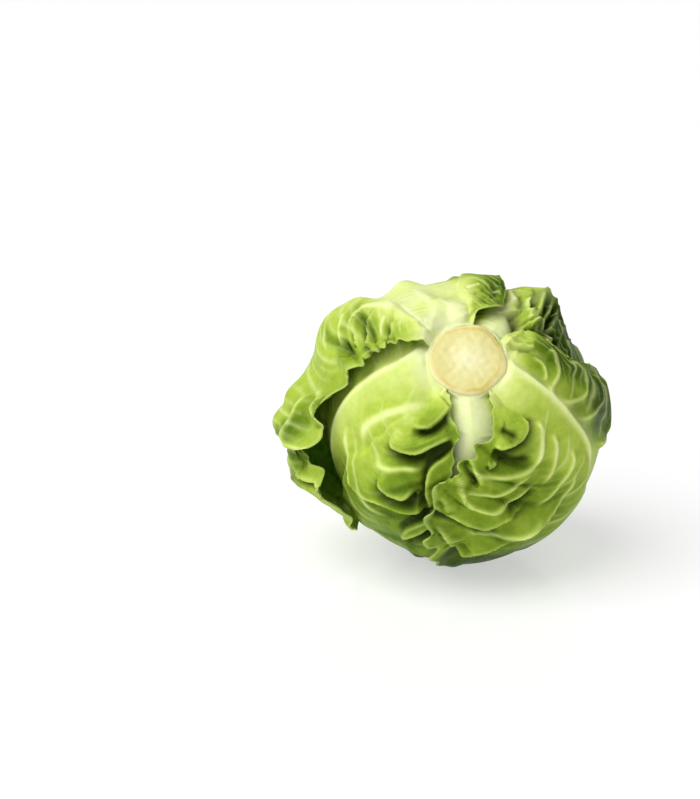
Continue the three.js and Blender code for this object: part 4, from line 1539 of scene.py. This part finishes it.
@dataclass(frozen=True)
class LeafFinish:
    """Waxy green leaf with pale veins, by the blade's tone, vein, gap and edge values; the tone and gap
    values carry painted shade, the vein values painted highlights.

    Scales are cells to the metre, the relief is in metres, and shares say how far a colour covers
    the one under it.
    """

    name: str
    vein_and_highlight_colour: Colour = colour(222, 235, 150)
    edge_colour: Colour = colour(196, 216, 120)
    net_share: float = 0.03
    gap_shade_share: float = 0.9
    vein_and_highlight_share: float = 0.5
    edge_share: float = 0.55
    mottle: float = 0.2
    roughness: float = 0.42
    patch_scale: float = 140
    wrinkle_scale: float = 900
    grain_scale: float = 1500
    relief: float = 0.00018

    def material(self) -> bpy.types.Material:
        """Builds the material.

        Returns:
            The material, which reads the blade's attributes.
        """
        graph = Graph(self.name)
        broad = graph.noise(self.patch_scale, 3)
        fine = graph.noise(self.wrinkle_scale, 3)
        tone = graph.attribute("tone") + (broad - 0.5) * self.mottle * 2 + (fine - 0.5) * self.mottle
        greens = [green.value for green in Green if green is not Green.GAP]
        blade = graph.ramp(tone, tuple((k / (len(greens) - 1), green) for k, green in enumerate(greens)))
        cells = graph.add(
            "ShaderNodeTexVoronoi",
            {"feature": "DISTANCE_TO_EDGE"},
            {"Vector": graph.position(), "Scale": self.wrinkle_scale},
            output="Distance",
        )
        net = 1 - graph.stepped(cells, 0.0, 0.12)
        blade = graph.mix(net * self.net_share, blade, Green.PALE.value)
        # Painted shade: the folds' gaps and the pleats' furrows turn near-black green.
        blade = graph.mix(graph.attribute("gap_shade") * self.gap_shade_share, blade, Green.GAP.value)
        vein = graph.attribute("vein")
        # Pale veins, with painted highlights on the folds' ridges and lips.
        veined_and_highlit = graph.mix(vein * self.vein_and_highlight_share, blade, self.vein_and_highlight_colour)
        edged = graph.mix(graph.attribute("edge") * self.edge_share, veined_and_highlit, self.edge_colour)
        height = graph.noise(self.grain_scale, 4) * 0.4 + net * tone * 0.2 + vein * 0.6 + fine * 0.3
        graph.drive(
            Base_Color=edged,
            Roughness=self.roughness + (fine - 0.5) * 0.25,
            Normal=graph.bump(height, self.relief, 0.8),
        )
        graph.fix(
            Subsurface_Weight=0.12,
            Subsurface_Radius=(0.6, 1.0, 0.25),
            Subsurface_Scale=0.0012,
            Specular_IOR_Level=0.05,
        )
        return graph.material


@dataclass(frozen=True)
class StemFinish:
    """Moist cream pith with a patchy tan ring near the rim.

    Places and the ring's wander are shares of the way out to the rim, scales are cells to the metre
    and the relief is in metres.
    """

    name: str = "cut_pith"
    pith: tuple[tuple[float, Colour], ...] = (
        (0.0, colour(240, 236, 188)),
        (0.5, colour(228, 222, 155)),
        (0.78, colour(224, 215, 141)),
        (0.88, colour(226, 215, 150)),
        (1.0, colour(230, 229, 168)),
    )
    speckle_colour: Colour = colour(228, 204, 130)
    speckle_share: float = 0.25
    ring_colour: Colour = colour(216, 190, 92)
    ring_wander: float = 0.24
    ring_grows: Station = (0.76, 0.83)
    ring_fades: Station = (0.84, 0.9)
    wander_scale: float = 420
    patch_scale: float = 330
    speckle_scale: float = 1500
    grain_scale: float = 1300
    relief: float = 0.0002

    def material(self) -> bpy.types.Material:
        """Builds the material.

        Returns:
            The material, which reads the stub's attribute.
        """
        graph = Graph(self.name)
        out = graph.attribute("out") + (graph.noise(self.wander_scale, 4) - 0.5) * self.ring_wander
        speckle = graph.stepped(graph.noise(self.speckle_scale, 4), 0.55, 0.75)
        ring = graph.stepped(out, *self.ring_grows) - graph.stepped(out, *self.ring_fades)
        patchy = graph.stepped(graph.noise(self.patch_scale, 3), 0.35, 0.65) * 0.75 + 0.15
        pith = graph.mix(speckle * self.speckle_share, graph.ramp(out, self.pith), self.speckle_colour)
        pith = graph.mix(ring * patchy, pith, self.ring_colour)
        grain = graph.noise(self.grain_scale, 5)
        graph.drive(
            Base_Color=pith,
            Roughness=0.5 + (grain - 0.5) * 0.3,
            Normal=graph.bump(grain, self.relief, 0.35),
        )
        graph.fix(
            Subsurface_Weight=0.25,
            Subsurface_Radius=(1.0, 0.8, 0.4),
            Subsurface_Scale=0.002,
            Specular_IOR_Level=0.5,
        )
        return graph.material


# ---------------------------------------------------------------- studio


@dataclass(frozen=True)
class Lamp:
    """Even light from one direction, softened over a spread in degrees."""

    name: str
    towards: tuple[float, float, float]
    strength: float
    spread: float = 60

    def build(self) -> None:
        """Hangs the lamp."""
        data = bpy.data.lights.new(self.name, "SUN")
        data.energy, data.angle = self.strength, math.radians(self.spread)
        lamp = bpy.data.objects.new(self.name, data)
        bpy.context.collection.objects.link(lamp)
        lamp.rotation_euler = (-Vector(self.towards)).to_track_quat("-Z", "Y").to_euler()


@dataclass(frozen=True)
class Studio:
    """White floor, soft lights and the camera, with its picture in pixels and the rest in metres."""

    picture: tuple[int, int] = (700, 799)
    head_at: tuple[float, float] = (462.0, 419.0)
    lens: float = 150.0
    sensor: float = 36.0
    distance: float = 0.45
    elevation: float = 17.0
    floor_size: float = 4
    floor_grey: float = 0.57
    floor_glow: float = 0.51
    room_light: float = 0.32
    lamps: tuple[Lamp, ...] = (Lamp("key", (-0.62, -0.3, 1.05), 2.45), Lamp("fill", (-0.5, -1, 0.3), 0.7))

    def axes(self) -> tuple[Vector, Vector, Vector]:
        """Axes of the camera.

        Returns:
            Its right, up and backward directions.
        """
        lift = math.radians(self.elevation)
        right = Vector((1, 0, 0))
        back = Vector((0, -math.cos(lift), math.sin(lift)))
        return right, back.cross(right), back

    def camera(self) -> None:
        """Points the camera so that the head's centre falls on its place in the picture."""
        width, height = self.picture
        metres = self.distance * self.sensor / self.lens / height
        right, up, back = self.axes()
        centre = Vector((0, 0, LIE.centre_height * MM))
        target = centre - right * (self.head_at[0] - width / 2) * metres
        target += up * (self.head_at[1] - height / 2) * metres
        data = bpy.data.cameras.new("camera")
        data.lens, data.sensor_width = self.lens, self.sensor
        camera = bpy.data.objects.new("camera", data)
        bpy.context.collection.objects.link(camera)
        turn = Matrix((right, up, back)).transposed().to_4x4()
        camera.matrix_world = Matrix.Translation(target + back * self.distance) @ turn
        bpy.context.scene.camera = camera

    def floor(self) -> None:
        """Lays a wide glossy white floor."""
        bpy.ops.object.select_all(action="DESELECT")
        bpy.ops.mesh.primitive_plane_add(size=self.floor_size)
        floor = bpy.context.object
        floor.name = "floor"
        graph = Graph("white_floor")
        graph.fix(
            Base_Color=(self.floor_grey, self.floor_grey, self.floor_grey, 1),
            Metallic=0.0,
            Roughness=0.2,
            Specular_IOR_Level=0.8,
            Emission_Color=(1, 1, 1, 1),
            Emission_Strength=self.floor_glow,
        )
        floor.data.materials.append(graph.material)

    def room(self) -> None:
        """Lights the room evenly from all round."""
        world = bpy.data.worlds.new("white_room")
        world.use_nodes = True
        background = world.node_tree.nodes["Background"]
        background.inputs["Color"].default_value = (1, 1, 1, 1)
        background.inputs["Strength"].default_value = self.room_light
        bpy.context.scene.world = world

    def build(self) -> None:
        """Sets the studio up."""
        self.floor()
        self.room()
        for lamp in self.lamps:
            lamp.build()
        self.camera()
        bpy.context.scene.view_settings.view_transform = "Standard"


# ---------------------------------------------------------------- the whole part


def dress(piece: bpy.types.Object, node: str, material: bpy.types.Material) -> None:
    """Gives a piece its finish and says which solid it stands for.

    Args:
        piece: the finished piece.
        node: the solid that it replaces.
        material: the finish.
    """
    piece.data.materials.clear()
    piece.data.materials.append(material)
    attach(piece, "root")
    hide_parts(node)
    log.info("%s: %d faces, for %s", piece.name, len(piece.data.polygons), node)


def main() -> None:
    """Builds the head from the inside out, then the studio."""
    logging.basicConfig(level=logging.INFO, format="%(name)s: %(message)s")
    heart = Heart()
    underlay = Underlay(heart.radius(*Underlay.places()))
    outer_finish = LeafFinish("green_leaf").material()
    inner_finish = LeafFinish("inner_green_leaf").material()
    dress(heart.build(), "heart", inner_finish)
    dress(Stem().build(), "stem", StemFinish().material())
    forms = [inner_form(number) for number in range(len(INNER_AZIMUTHS))] + list(OUTER_LEAVES)
    for number, form in enumerate(forms):
        leaf = Leaf(form, number + 1).build(underlay)
        dress(leaf, form.node, inner_finish if form.slot == "inner_leaf" else outer_finish)
    Studio().build()


if __name__ == "__main__":
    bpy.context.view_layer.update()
    main()
